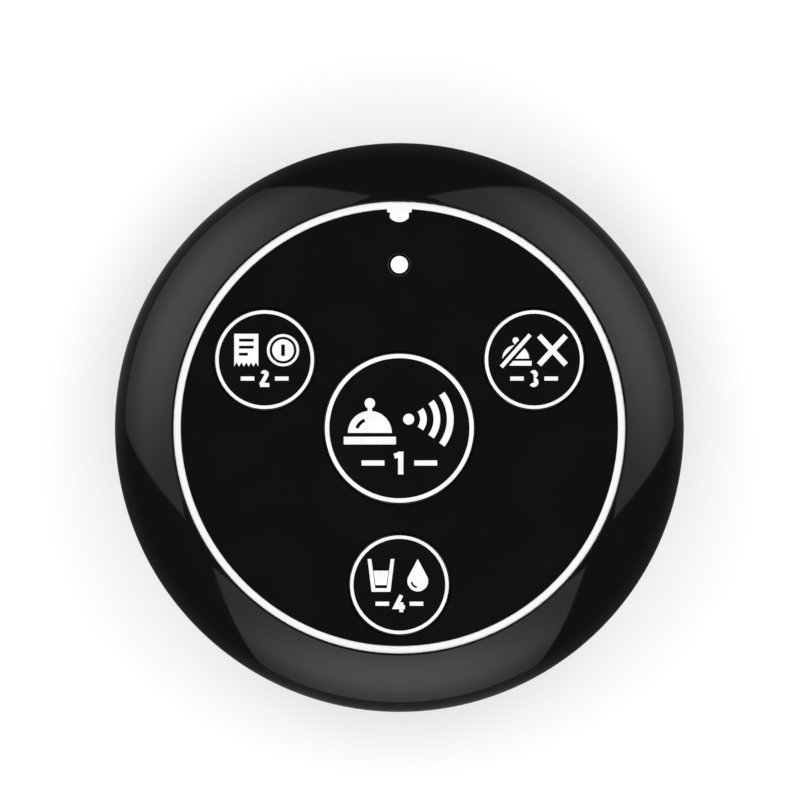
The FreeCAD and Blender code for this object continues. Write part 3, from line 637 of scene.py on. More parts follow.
# Plain figures 1 to 4, one unit high
def figure(number, weight):
    half = weight / 2
    if number == 1:
        lines = [[(0.06, -0.5), (0.06, 0.5)], [(0.06, 0.5 - half), (-0.22, 0.30)]]
    elif number == 2:
        bow = arc_points((0, 0.5 - 0.24), 0.24 - half, 165, -35, 20)
        lines = [bow + [Vector((-0.22, half - 0.5))], [(-0.27, half - 0.5), (0.27, half - 0.5)]]
    elif number == 3:
        upper = arc_points((-0.02, 0.26), 0.24 - half, 150, -90, 20)
        lower = arc_points((-0.02, -0.22), 0.28 - half, 90, -150, 22)
        lines = [upper, lower]
    else:
        lines = [[(0.12, 0.5), (-0.24, -0.20), (0.33, -0.20)], [(0.12, 0.08), (0.12, -0.5)]]
    return [(True, stroke(line, weight)) for line in lines]


leads = []
for low, high in solids_in("encoder_leads"):
    leads.append(Vector(((low.x + high.x) / 2, low.y if high.y < chip_middle.y else high.y)))
upper_leads = [lead for lead in leads if lead.y > chip_middle.y]
lower_leads = [lead for lead in leads if lead.y < chip_middle.y]
feet = {key: [] for key in keys}
for low, high in terminal_boxes:
    foot = ((low + high) / 2).to_2d()
    nearest = min(keys, key=lambda key: (middle_of(key + "_switch_base").to_2d() - foot).length)
    feet[nearest].append(foot)
led_foot = middle_of("status_led").to_2d()
can_foot = middle_of("rf_resonator").to_2d()
transistor_foot = middle_of("rf_transistor").to_2d()
upper_ends = [feet["bill"][0], feet["bill"][2], led_foot, feet["call"][0], feet["call"][2],
              feet["cancel"][0], feet["cancel"][2]]
lower_ends = [feet["water"][1], feet["water"][0], feet["water"][3], feet["water"][2],
              can_foot, transistor_foot, middle_of("chip_capacitors").to_2d()]
tracks = [track(lead, end, 1) for lead, end in zip(upper_leads, upper_ends)]
tracks += [track(lead, end, -1) for lead, end in zip(lower_leads, lower_ends)]
mask_over_copper = lacquer_finish("mask_over_copper", track_tone, track_deep_tone,
                                  smooth=0.20, rough=0.34, depth=0.000003)
finished(raised_layer("board_tracks", tracks, board_high.z - sign_root, board_high.z + track_rise),
         mask_over_copper, "case")

legend = []
for number, key in enumerate(keys, 1):
    middle = middle_of(key + "_switch_base")
    legend += frame_outline(middle.x, middle.y, switch_outline, switch_outline, legend_width)
    legend += placed(figure(number, legend_figure_weight), middle.x, middle.y + legend_figure_offset,
                     legend_figure_height)
chip_size = chip_high - chip_low
legend += frame_outline(chip_middle.x, chip_middle.y, chip_size.x + chip_frame_room,
                        chip_size.y - chip_frame_inset, legend_width)
legend.append((True, disc((chip_low.x - pin_dot_gap, chip_low.y + pin_dot_lift), pin_dot_radius)))
legend_ink = lacquer_finish("legend_ink", legend_tone, legend_faint_tone,
                            smooth=0.45, rough=0.6, depth=0.000003)
finished(raised_layer("board_legend", legend, board_high.z - sign_root, board_high.z + legend_rise),
         legend_ink, "case")


# Solder joints
# A small bright cone of solder at each chip lead, switch terminal, battery contact and aerial leg.
# It is drawn up round the metal as it cools, so it is hollow-sided and a little uneven.
solder_tone = (0.60, 0.60, 0.59, 1.0)
solder_dull_tone = (0.38, 0.38, 0.37, 1.0)
solder_sides = 20
solder_rise = ((1.0, 0.0), (0.80, 0.10), (0.60, 0.30), (0.46, 0.60), (0.34, 0.86), (0.16, 0.99))
lead_solder = Vector((0.00034, 0.00036, 0.00030))
terminal_solder = Vector((0.00062, 0.00064, 0.00042))
contact_solder = Vector((0.0009, 0.0013, 0.00055))
leg_solder = Vector((0.00085, 0.00085, 0.00065))


def solder_joints(name, joints):
    verts = []
    faces = []
    for place, size in joints:
        first = len(verts)
        for share, rise in solder_rise:
            for i in range(solder_sides):
                turn = 2 * math.pi * i / solder_sides
                along = size.x * share * math.cos(turn)
                across = size.y * share * math.sin(turn)
                verts.append((place.x + along, place.y + across, board_high.z + size.z * rise))
        verts.append((place.x, place.y, board_high.z + size.z))
        faces.append([first + i for i in reversed(range(solder_sides))])
        for ring in range(len(solder_rise) - 1):
            for i in range(solder_sides):
                a = first + ring * solder_sides + i
                b = first + ring * solder_sides + (i + 1) % solder_sides
                faces.append([a, b, b + solder_sides, a + solder_sides])
        last = first + (len(solder_rise) - 1) * solder_sides
        for i in range(solder_sides):
            faces.append([last + i, last + (i + 1) % solder_sides, len(verts) - 1])
    mesh = bpy.data.meshes.new(name)
    mesh.from_pydata(verts, [], faces)
    mesh.shade_smooth()
    return linked_object(name, mesh)


joints = [(lead, lead_solder) for lead in leads]
for low, high in terminal_boxes:
    switch_middles = [middle_of(key + "_switch_base") for key in keys]
    switch = min(switch_middles, key=lambda middle: (middle - low).length)
    outer = high.x if low.x > switch.x else low.x
    joints.append((Vector((outer, (low.y + high.y) / 2)), terminal_solder))
joints += [(middle_of(name).to_2d(), contact_solder) for name in ("negative_contact", "positive_contact")]
leg_tops = [v.co for v in nodes["aerial_coil"].data.vertices if v.co.z > board_high.z]
for side in (-1, 1):
    leg = [top for top in leg_tops if top.x * side > 0]
    joints.append((sum(leg, Vector((0, 0, 0))).to_2d() / len(leg), leg_solder))
tin_solder = plated_finish("tin_solder", solder_tone, solder_dull_tone,
                           line_size=0.00012, line_depth=0.000004, smooth=0.20, rough=0.34)
finished(solder_joints("solder_joints", joints), tin_solder, "case")


# Parts on the board
# The encoder chip and the radio's transistor in black epoxy with tinned leads, a nickel-plated can, the
# wound copper aerial, chip resistors and capacitors with tinned ends, and the status diode.
epoxy_tone = (0.017, 0.017, 0.018, 1.0)
epoxy_grey_tone = (0.040, 0.040, 0.042, 1.0)
lead_tone = (0.62, 0.62, 0.60, 1.0)
lead_dull_tone = (0.42, 0.42, 0.41, 1.0)
nickel_tone = (0.60, 0.58, 0.52, 1.0)
nickel_dull_tone = (0.46, 0.44, 0.39, 1.0)
enamel_tone = (0.72, 0.26, 0.10, 1.0)
enamel_dark_tone = (0.42, 0.12, 0.045, 1.0)
resistor_tone = (0.014, 0.014, 0.016, 1.0)
resistor_chalk_tone = (0.035, 0.035, 0.037, 1.0)
capacitor_tone = (0.30, 0.20, 0.11, 1.0)
capacitor_chalk_tone = (0.42, 0.31, 0.20, 1.0)
resistor_spacing = 0.0032
resistor_bare_half = 0.00066
capacitor_spacing = 0.0024
capacitor_bare_half = 0.00048
diode_tone = (0.82, 0.81, 0.76, 1.0)
diode_window_tone = (0.90, 0.86, 0.62, 1.0)
diode_window_rise = 0.0004
chip_dot_radius = 0.00032
chip_dot_inset = 0.0008
chip_mark_rise = 0.000008
epoxy_grain_size = 0.00007
epoxy_grain_depth = 0.000006
epoxy_roughness = (0.50, 0.66)
epoxy_chalk_share = 0.6
enamel_line_size = 0.00008
enamel_line_depth = 0.000002
enamel_roughness = (0.18, 0.34)
ceramic_grain_size = 0.00006
ceramic_grain_depth = 0.000003
ceramic_roughness = (0.42, 0.6)
tin_shine = 0.15
diode_grain_depth = 0.000002
diode_roughness = (0.25, 0.42)

chip_epoxy, tree, shader = new_finish("chip_epoxy", Specular_IOR_Level=0.45)
grain = use_effect(tree, moulded_grain, Size=epoxy_grain_size)
chalky = times(tree, grain["Patches"], epoxy_chalk_share)
feed(tree, shader,
     Base_Color=mixed(tree, chalky, epoxy_tone, epoxy_grey_tone),
     Roughness=between(tree, grain["Patches"], *epoxy_roughness),
     Normal=bumped(tree, grain["Height"], epoxy_grain_depth))
dress(chip_epoxy, "encoder_chip", "rf_transistor")
chip_dot = [(True, disc((chip_low.x + chip_dot_inset, chip_low.y + chip_dot_inset), chip_dot_radius))]
finished(raised_layer("chip_dot", chip_dot, chip_high.z - sign_root, chip_high.z + chip_mark_rise),
         legend_ink, "case")

tinned = plated_finish("tinned_leads", lead_tone, lead_dull_tone,
                       line_size=0.00005, line_depth=0.0000015, smooth=0.24, rough=0.40)
dress(tinned, "encoder_leads", "switch_terminals")
nickel = plated_finish("nickel_can", nickel_tone, nickel_dull_tone,
                       line_size=0.00006, line_depth=0.000001, smooth=0.16, rough=0.30)
dress(nickel, "rf_resonator")

enamelled, tree, shader = new_finish("copper_wire", Metallic=1.0, Coat_Weight=0.6, Coat_Roughness=0.10)
rolled = use_effect(tree, rolled_metal, Line_Size=enamel_line_size)
feed(tree, shader,
     Base_Color=mixed(tree, rolled["Dullness"], enamel_tone, enamel_dark_tone),
     Roughness=between(tree, rolled["Dullness"], *enamel_roughness),
     Normal=bumped(tree, rolled["Height"], enamel_line_depth))
dress(enamelled, "aerial_coil")


# A row of chip parts along X: ceramic bodies with tinned ends, told apart by their even spacing
def chip_part_finish(name, node, tone, chalk_tone, spacing, bare_half):
    first_low, first_high = solids_in(node)[0]
    first_middle = (first_low.x + first_high.x) / 2
    finish, tree, shader = new_finish(name)
    place = object_place(tree)
    grain = use_effect(tree, moulded_grain, Size=ceramic_grain_size)
    along = axes_of(tree, place)["X"]
    from_start = less(tree, along, first_middle - spacing / 2)
    off_middle = less(tree, calc(tree, "FLOORED_MODULO", from_start, spacing), spacing / 2)
    tin_end = calc(tree, "GREATER_THAN", unsigned(tree, off_middle), bare_half)
    body = mixed(tree, grain["Patches"], tone, chalk_tone)
    body_rough = between(tree, grain["Patches"], *ceramic_roughness)
    feed(tree, shader,
         Base_Color=mixed(tree, tin_end, body, lead_tone),
         Metallic=tin_end,
         Roughness=times_plus(tree, tin_end, -tin_shine, body_rough),
         Normal=bumped(tree, grain["Height"], ceramic_grain_depth))
    dress(finish, node)


chip_part_finish("resistor_ceramic", "chip_resistors", resistor_tone, resistor_chalk_tone,
                 resistor_spacing, resistor_bare_half)
chip_part_finish("capacitor_ceramic", "chip_capacitors", capacitor_tone, capacitor_chalk_tone,
                 capacitor_spacing, capacitor_bare_half)

diode_finish, tree, shader = new_finish("diode_package", Coat_Weight=0.5, Coat_Roughness=0.08)
place = object_place(tree)
height = axes_of(tree, place)["Z"]
in_window = calc(tree, "GREATER_THAN", height, board_high.z + diode_window_rise + sign_root)
grain = use_effect(tree, moulded_grain, Size=ceramic_grain_size)
feed(tree, shader,
     Base_Color=mixed(tree, in_window, diode_tone, diode_window_tone),
     Roughness=between(tree, grain["Patches"], *diode_roughness),
     Normal=bumped(tree, grain["Height"], diode_grain_depth))
dress(diode_finish, "status_led")


# Key switches
# Each is a black glass-filled nylon base with a riveted stainless steel cover, a brown acetal plunger
# and a domed steel snap disc, which the plunger buckles when its key is pressed.
nylon_tone = (0.016, 0.016, 0.017, 1.0)
nylon_fibre_tone = (0.032, 0.032, 0.031, 1.0)
acetal_tone = (0.040, 0.018, 0.010, 1.0)
acetal_pale_tone = (0.065, 0.034, 0.020, 1.0)
stainless_tone = (0.56, 0.55, 0.53, 1.0)
stainless_dull_tone = (0.44, 0.43, 0.41, 1.0)


def moulded_finish(name, tone, pale_tone, grain_size, grain_depth, smooth, rough):
    finish, tree, shader = new_finish(name)
    grain = use_effect(tree, moulded_grain, Size=grain_size)
    marks = use_effect(tree, handling)
    pale = times_plus(tree, marks["Scratches"], 0.5, times(tree, grain["Patches"], 0.5))
    feed(tree, shader,
         Base_Color=mixed(tree, pale, tone, pale_tone),
         Roughness=between(tree, grain["Patches"], smooth, rough),
         Normal=bumped(tree, grain["Height"], grain_depth))
    return finish


nylon = moulded_finish("switch_plastic", nylon_tone, nylon_fibre_tone,
                       grain_size=0.00005, grain_depth=0.000004, smooth=0.45, rough=0.62)
acetal = moulded_finish("plunger_plastic", acetal_tone, acetal_pale_tone,
                        grain_size=0.00006, grain_depth=0.000002, smooth=0.28, rough=0.42)
stainless = plated_finish("switch_steel", stainless_tone, stainless_dull_tone,
                          line_size=0.00004, line_depth=0.0000015, smooth=0.22, rough=0.36)
for key in keys:
    dress(nylon, key + "_switch_base")
    dress(acetal, key + "_switch_plunger")
    dress(stainless, key + "_switch_cover", key + "_snap_dome")
    snap_disc = linked_object(key + "_snap_disc", nodes[key + "_snap_dome"].data.copy())
    snap_disc.data.materials.clear()
    finished(snap_disc, stainless, "case")
    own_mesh(snap_disc)
    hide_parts(key + "_snap_dome")


# Screws
# Zinc-plated steel screws with cross recesses: four that close the case from below, in counterbores,
# and four that hold the circuit board up against the top shell's bosses.
zinc_tone = (0.52, 0.53, 0.55, 1.0)
zinc_dull_tone = (0.36, 0.37, 0.38, 1.0)
zinc = plated_finish("screw_steel", zinc_tone, zinc_dull_tone,
                     line_size=0.00008, line_depth=0.0000025, smooth=0.22, rough=0.42)
dress(zinc, "case_screws", "board_screws")


# Top shell
# The deck, bulging rim and shoulder, one polished black ABS moulding down to the parting line.
# Its skin is nearly a mirror, a little hazy where hands have held it, and dulled along the parting line.
gloss_tone = (0.0052, 0.0052, 0.0052, 1.0)
gloss_worn_tone = (0.014, 0.014, 0.014, 1.0)
skin_wave_size = 0.006
skin_wave_depth = 0.0000004
skin_rounds = 360
skin_fit = 0.00004
skin_lap = 0.0001
body_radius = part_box("top_shell")[1].x
body_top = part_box("top_shell")[1].z
deck_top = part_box("panel_adhesive")[0].z
ring_gap = 0.00015
well_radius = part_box("trim_ring")[1].x + ring_gap
well_round = 0.0001
lip_round = 0.00004
land_end_tilt = 0.15
crown_tilt = 10.75
shoulder_tilt = 40.0
shoulder_radius = 0.0045
tuck_in = 0.006
parting_wear_width = 0.0004
worn_roughness = 0.12
gloss_roughness = 0.045
smudge_roughness = 0.030
hair_scratch_share = 0.10


def on_arc(centre, radius, tilt):
    turn = math.radians(tilt)
    return (centre[0] + radius * math.sin(turn), centre[1] + radius * math.cos(turn))


def arc_line(centre, radius, start, end, steps):
    return [on_arc(centre, radius, start + (end - start) * i / steps) for i in range(steps + 1)]


# The body's side is a crisp lip at the well, then three tangent arcs: crown, shoulder and tuck.
# A tilt is measured from +Z.
def body_side():
    sine = {tilt: math.sin(math.radians(tilt)) for tilt in (crown_tilt, shoulder_tilt)}
    cosine = {tilt: math.cos(math.radians(tilt)) for tilt in (crown_tilt, shoulder_tilt)}
    crown_start = well_radius + well_round * (1 + sine[crown_tilt])
    crown_run = body_radius - shoulder_radius * (1 - sine[shoulder_tilt]) - crown_start
    crown_radius = crown_run / (sine[shoulder_tilt] - sine[crown_tilt])
    crown_height = body_top - well_round * (1 - cosine[crown_tilt]) - crown_radius * cosine[crown_tilt]
    crown_centre = (crown_start - crown_radius * sine[crown_tilt], crown_height)
    middle_height = crown_height + (crown_radius - shoulder_radius) * cosine[shoulder_tilt]
    tuck_drop = middle_height - base_bottom
    tuck_radius = (tuck_in ** 2 + tuck_drop ** 2) / (2 * tuck_in)
    tuck_centre = (body_radius - tuck_radius, middle_height)
    tuck_end = math.degrees(math.acos((parting_height - middle_height) / tuck_radius))
    line = [(well_radius, deck_top - skin_lap), (well_radius, (deck_top + body_top) / 2)]
    line += arc_line((well_radius + lip_round, body_top - lip_round), lip_round, -90, 0, 8)
    line.append(on_arc(crown_centre, crown_radius, crown_tilt))
    line += arc_line(crown_centre, crown_radius, crown_tilt + land_end_tilt, shoulder_tilt, 20)
    shoulder_centre = (body_radius - shoulder_radius, middle_height)
    line += arc_line(shoulder_centre, shoulder_radius, shoulder_tilt, 90, 28)[1:]
    line += arc_line(tuck_centre, tuck_radius, 90, tuck_end, 14)[1:]
    return line


# The shell with its outer skin turned afresh in fine steps, so that reflections run smoothly over it
def smooth_shell(name, source, line):
    mesh = nodes[source].data
    segments = list(zip(line, line[1:]))

    def on_skin(place):
        spot = Vector((math.hypot(place.x, place.y), place.z))
        for start, end in segments:
            nearest, share = intersect_point_line(spot, Vector(start), Vector(end))
            held = Vector(start).lerp(Vector(end), min(1.0, max(0.0, share)))
            if (spot - held.to_2d()).length < skin_fit:
                return True
        return False

    on_line = [on_skin(v.co) for v in mesh.vertices]
    shell = bmesh.new()
    shell.from_mesh(mesh)
    shell.verts.ensure_lookup_table()
    skin_faces = [face for face in shell.faces if all(on_line[v.index] for v in face.verts)]
    bmesh.ops.delete(shell, geom=skin_faces, context="FACES_KEEP_BOUNDARY")
    rings = []
    for radius, height in line + [(line[-1][0] - skin_lap, line[-1][1] + skin_lap / 4)]:
        ring = []
        for i in range(skin_rounds):
            turn = 2 * math.pi * i / skin_rounds
            ring.append(shell.verts.new((radius * math.cos(turn), radius * math.sin(turn), height)))
        rings.append(ring)
    for upper, lower in zip(rings, rings[1:]):
        for i in range(skin_rounds):
            j = (i + 1) % skin_rounds
            shell.faces.new([upper[i], lower[i], lower[j], upper[j]]).smooth = True
    smooth = bpy.data.meshes.new(name)
    shell.to_mesh(smooth)
    shell.free()
    return linked_object(name, smooth)


gloss_black, tree, shader = new_finish("gloss_black_case")
place = object_place(tree)
marks = use_effect(tree, handling)
seam = use_effect(tree, round_edge, Radius=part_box("base_shell")[1].x, Height=parting_height,
                  Width=parting_wear_width)
edges_and_scratches = larger(tree, seam["Mask"], times(tree, marks["Scratches"], hair_scratch_share))
haze = times_plus(tree, marks["Smudges"], smudge_roughness, gloss_roughness)
feed(tree, shader,
     Base_Color=mixed(tree, edges_and_scratches, gloss_tone, gloss_worn_tone),
     Roughness=times_plus(tree, edges_and_scratches, worn_roughness, haze),
     Normal=bumped(tree, noise(tree, place, skin_wave_size, 1.0), skin_wave_depth))
dress(gloss_black, "top_shell")
moulding = finished(smooth_shell("top_shell_moulding", "top_shell", body_side()),
                    gloss_black, "case")
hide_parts("top_shell")


# Trim ring
# A slim semi-gloss white ABS ring in the gap between rim and panel, with the bowed tongue that
# keys the panel. Its outer edge is greyed with painted shade beside the gap to the rim, and flecked with
# dust.
white_tone = (0.845, 0.845, 0.84, 1.0)
white_edge_shade_tone = (0.74, 0.73, 0.71, 1.0)
ring_grain_size = 0.00009
ring_grain_depth = 0.000001
ring_roughness = (0.26, 0.36)
ring_shade_width = 0.00018
ring_shade_share = 0.5
ring_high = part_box("trim_ring")[1]
ring_white, tree, shader = new_finish("white_trim")
grain = use_effect(tree, moulded_grain, Size=ring_grain_size)
marks = use_effect(tree, handling)
# Painted shade greys the ring's outer edge beside the gap; the specks are dust.
painted_edge_shade = use_effect(tree, round_edge, Radius=ring_high.x, Height=ring_high.z, Width=ring_shade_width)
edge_shade_and_dust = larger(tree, times(tree, painted_edge_shade["Mask"], ring_shade_share), marks["Dust"])
feed(tree, shader,
     Base_Color=mixed(tree, edge_shade_and_dust, white_tone, white_edge_shade_tone),
     Roughness=between(tree, grain["Patches"], *ring_roughness),
     Normal=bumped(tree, grain["Height"], ring_grain_depth))
dress(ring_white, "trim_ring")


# Face panel and its adhesive
# A disc of hard-coated black polycarbonate sheet with milled holes for the keys and the light pipe,
# on a sheet of double-sided film. The light pipe's hole has a painted highlight, a fine bright band round
# its edge.
face_tone = (0.0043, 0.0043, 0.0043, 1.0)
face_hole_highlight_tone = (0.060, 0.059, 0.059, 1.0)
film_tone = (0.62, 0.61, 0.57, 1.0)
film_yellow_tone = (0.55, 0.50, 0.40, 1.0)
light_middle = middle_of("indicator_lens")
light_hole_radius = 0.00154
hole_highlight_width = 0.0001
face_grain_size = 0.00008
face_grain_depth = 0.0000008
face_scratch_share = 0.004
face_smudge_roughness = 0.05
face_roughness = 0.15
face_scratch_roughness = 0.03
panel_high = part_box("face_panel")[1]

face_black, tree, shader = new_finish("black_face")
grain = use_effect(tree, moulded_grain, Size=face_grain_size)
marks = use_effect(tree, handling)
# The bright band round the light pipe's hole is a painted highlight; the other marks are hair scratches.
painted_hole_highlight = use_effect(tree, round_edge, Centre_X=light_middle.x, Centre_Y=light_middle.y,
                 Radius=light_hole_radius, Height=panel_high.z, Width=hole_highlight_width)
edges_and_scratches = larger(tree, painted_hole_highlight["Mask"], times(tree, marks["Scratches"], face_scratch_share))
haze = times_plus(tree, marks["Smudges"], face_smudge_roughness, face_roughness)
feed(tree, shader,
     Base_Color=mixed(tree, edges_and_scratches, face_tone, face_hole_highlight_tone),
     Roughness=times_plus(tree, marks["Scratches"], face_scratch_roughness, haze),
     Normal=bumped(tree, grain["Height"], face_grain_depth))
dress(face_black, "face_panel")
film = moulded_finish("adhesive_film", film_tone, film_yellow_tone,
                      grain_size=0.0002, grain_depth=0.000005, smooth=0.5, rough=0.7)
dress(film, "panel_adhesive")


# Light pipe
# A milky acrylic pin that carries the diode's light up to the face. It is pressed into a hole in the
# top shell's deck, and its polished end is flush with the panel.
milky_tone = (0.90, 0.90, 0.89, 1.0)
milky_core_tone = (0.87, 0.87, 0.86, 1.0)
milky_roughness = (0.14, 0.24)
milky_cloud_size = 0.0009
milky_ripple_size = 0.00025
milky_ripple_depth = 0.0000015
milky, tree, shader = new_finish("milky_lens", Subsurface_Weight=0.25, Subsurface_Scale=0.0008)
place = object_place(tree)
cloud = clouded(tree, place, milky_cloud_size, 0.35, 0.7)
feed(tree, shader,
     Base_Color=mixed(tree, cloud, milky_tone, milky_core_tone),
     Roughness=between(tree, cloud, *milky_roughness),
     Normal=bumped(tree, noise(tree, place, milky_ripple_size, 2.0), milky_ripple_depth))
dress(milky, "indicator_lens")


# Keys
# Four round press keys of hard-coated black ABS, flush with the panel. Each has a printed white circle
# near its edge, two printed signs and, beneath them, its plain number between two dashes.
key_tone = (0.0044, 0.0044, 0.0044, 1.0)
key_worn_tone = (0.012, 0.012, 0.012, 1.0)
ink_tone = (0.88, 0.88, 0.88, 1.0)
ink_thin_tone = (0.80, 0.80, 0.80, 1.0)
ink_rise = 0.000012
ink_root = 0.000004
key_edge_width = 0.00022
key_edge_share = 0.4
key_scratch_share = 0.03
key_smudge_roughness = 0.05
key_roughness = 0.16
fingered_shine = 0.05
call_layout = {
    "edge": 0.01070, "ring_outer": 0.01045, "ring_inner": 0.00985,
    "sign_size": 0.00385, "sign_spread": 0.00415, "sign_rise": 0.00127, "sign_weight": 0.285,
    "figure_height": 0.0032, "figure_drop": 0.00488, "figure_weight": 0.23,
    "dash_start": 0.0021, "dash_end": 0.0053, "dash_weight": 0.00072,
}
small_layout = {
    "edge": 0.00717, "ring_outer": 0.006925, "ring_inner": 0.00646,
    "sign_size": 0.00235, "sign_spread": 0.00258, "sign_rise": 0.00132, "sign_weight": 0.25,
    "figure_height": 0.00237, "figure_drop": 0.00266, "figure_weight": 0.235,
    "dash_start": 0.00145, "dash_end": 0.00335, "dash_weight": 0.00057,
}


# The signs are drawn about their own middle, and reach about one unit each way.
def half_disc(x, y, radius):
    return arc_points((x, y), radius, 0, 180, 48)


# A counter bell, with a shine cut out of its dome
def bell(weight):
    dome = half_disc(0, -0.50, 0.80)
    shine = arc_points((0, -0.50), 0.50, 112, 160, 12)
    plate = area((-0.95, -0.92), (0.95, -0.92), (0.95, -0.64), (-0.95, -0.64))
    stem = area((-0.08, 0.25), (0.08, 0.25), (0.08, 0.5), (-0.08, 0.5))
    gap = area((-1, -0.64), (1, -0.64), (1, -0.5), (-1, -0.5))
    return [(True, dome), (False, stroke(shine, weight * 0.45)), (False, gap), (True, plate), (True, stem),
            (True, disc((0, 0.58), 0.19))]


# Three rings of sound going out from a point
def sound(weight):
    shapes = [(True, disc((-0.74, 0), 0.20))]
    for radius in (0.56, 1.05, 1.54):
        shapes.append((True, stroke(arc_points((-0.76, 0), radius, -37, 37, 24), weight * 0.85)))
    return shapes


# A till slip, torn off along its foot
def slip(weight):
    teeth = 5
    foot = [(-0.72 + 1.44 * i / (2 * teeth), -0.98 if i % 2 == 0 else -0.72) for i in range(2 * teeth + 1)]
    sheet = area((0.72, 0.98), (-0.72, 0.98), *foot)
    lines = [[(-0.44, 0.60), (0.44, 0.60)], [(-0.44, 0.18), (0.44, 0.18)], [(-0.44, -0.24), (0.10, -0.24)]]
    return [(True, sheet)] + [(False, stroke(line, weight * 0.72)) for line in lines]


# A plain coin with a raised edge
def coin(weight):
    radius = 0.96
    slot = [(0, -0.34), (0, 0.34)]
    return [(True, disc((0, 0), radius)), (False, disc((0, 0), radius - weight * 0.62)),
            (True, disc((0, 0), radius - weight * 1.25)), (False, stroke(slot, weight * 0.9))]


# The counter bell with a stroke through it
def struck_bell(weight):
    slash = [(-0.86, -1.0), (0.86, 0.92)]
    return bell(weight) + [(False, stroke(slash, weight * 2.3)), (True, stroke(slash, weight * 0.95))]


def cross(weight):
    return [(True, stroke([(-0.80, -0.86), (0.80, 0.86)], weight * 1.3)),
            (True, stroke([(-0.80, 0.86), (0.80, -0.86)], weight * 1.3))]


# A tumbler, two thirds full
def tumbler(weight):
    wall = weight * 0.85
    outside = area((-0.80, 0.98), (-0.56, -0.98), (0.56, -0.98), (0.80, 0.98))
    floor = -0.98 + wall
    inside = area((-0.80 + wall, 1.05), (-0.56 + wall, floor), (0.56 - wall, floor), (0.80 - wall, 1.05))
    water = area((-0.45, 0.28), (-0.33, -0.58), (0.33, -0.58), (0.45, 0.28))
    return [(True, outside), (False, inside), (True, water)]


# A falling drop, with a shine cut out of its belly
def drop(weight):
    middle = (0, -0.34)
    radius = 0.62
    tip = 1.32
    lean = math.degrees(math.acos(radius / tip))
    belly = arc_points(middle, radius, 90 - lean, -270 + lean, 64)
    shine = arc_points(middle, radius - weight * 1.0, 188, 262, 14)
    return [(True, [Vector((0, middle[1] + tip))] + belly), (False, stroke(shine, weight * 0.5))]


signs = {
    "call": (bell, sound),
    "bill": (slip, coin),
    "cancel": (struck_bell, cross),
    "water": (tumbler, drop),
}
print_ink = lacquer_finish("print_ink", ink_tone, ink_thin_tone, smooth=0.38, rough=0.50, depth=0.000001)
for number, key in enumerate(keys, 1):
    layout = call_layout if key == "call" else small_layout
    middle = middle_of(key + "_switch_plunger")
    face_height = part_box(key + "_key")[1].z

    key_finish, tree, shader = new_finish("gloss_black_" + key + "_key")
    grain = use_effect(tree, moulded_grain, Size=face_grain_size)
    marks = use_effect(tree, handling)
    edge = use_effect(tree, round_edge, Centre_X=middle.x, Centre_Y=middle.y,
                      Radius=layout["edge"], Height=face_height, Width=key_edge_width)
    pressed = use_effect(tree, round_edge, Centre_X=middle.x, Centre_Y=middle.y,
                         Radius=0.0, Height=face_height, Width=layout["ring_inner"])
    edges_and_scratches = larger(tree, times(tree, edge["Mask"], key_edge_share),
                  times(tree, marks["Scratches"], key_scratch_share))
    haze = times_plus(tree, marks["Smudges"], key_smudge_roughness, key_roughness)
    feed(tree, shader,
         Base_Color=mixed(tree, edges_and_scratches, key_tone, key_worn_tone),
         Roughness=times_plus(tree, pressed["Mask"], -fingered_shine, haze),
         Normal=bumped(tree, grain["Height"], face_grain_depth))
    dress(key_finish, key + "_key")

    centre = (middle.x, middle.y)
    print_shapes = [(True, disc(centre, layout["ring_outer"])), (False, disc(centre, layout["ring_inner"]))]
    for side, sign in zip((-1, 1), signs[key]):
        print_shapes += placed(sign(layout["sign_weight"]), middle.x + side * layout["sign_spread"],
                               middle.y + layout["sign_rise"], layout["sign_size"])
    line_y = middle.y - layout["figure_drop"]
    number_shapes = figure(number, layout["figure_weight"])
    print_shapes += placed(number_shapes, middle.x, line_y, layout["figure_height"])
    for side in (-1, 1):
        dash = [(middle.x + side * layout[end], line_y) for end in ("dash_start", "dash_end")]
        print_shapes.append((True, stroke(dash, layout["dash_weight"])))
    print_layer = raised_layer(key + "_print", print_shapes, face_height - ink_root, face_height + ink_rise)
    finished(print_layer, print_ink, key + "_button")


# Studio
# A pale sheet without an edge, lit faintly from beneath, an even soft light from all round, and three
# tall softboxes whose reflections lie on the rim. The camera looks straight down, as the photograph does.
floor_half = 4.0
floor_sink = 0.00005
floor_tone = (0.60, 0.60, 0.60, 1.0)
floor_glow = 0.41
floor_roughness = 0.9
floor_grit_size = 0.002
floor_grit_depth = 0.000002
white = (1.0, 1.0, 1.0, 1.0)
sky_strength = 0.55
backdrop_strength = 1.0
sky_glow_heights = (0.35, -0.15)
sky_glow_sectors = 3.0
sky_sector_edges = (-0.6, 0.7)
sky_sector_levels = (0.065, 0.20)
box_levels = {150.0: 1.0, 30.0: 1.0, 270.0: 1.13}
box_distance = 0.8
box_tilt = 65.27
box_width_share = 1.342
box_low_share = -0.45
box_high_share = 1.2
box_bow = 0.133
box_bow_height = 0.43
box_top_share = 1.218
box_top_bow = 0.367
box_side_level = 0.37
box_top_side_level = 0.52
box_side_heights = (0.50, 1.15)
box_side_leans = (0.08, 0.95)
box_low_heights = (-0.37, 0.19)
box_low_levels = (0.60, 1.42)
box_high_heights = (0.35, 1.07)
box_high_levels = (1.0, 0.68)
box_hem_heights = (-0.431, -0.383)
box_corner_sink = 0.256
box_hem_sink = 0.128
box_edge_blur = 0.01
lens_length = 1500.0
sensor_width = 36.0
camera_height = 4.6865
camera_x = 0.00009
camera_y = 0.003865
rim_height = 0.014528
camera_near = 0.1
camera_far = 50.0

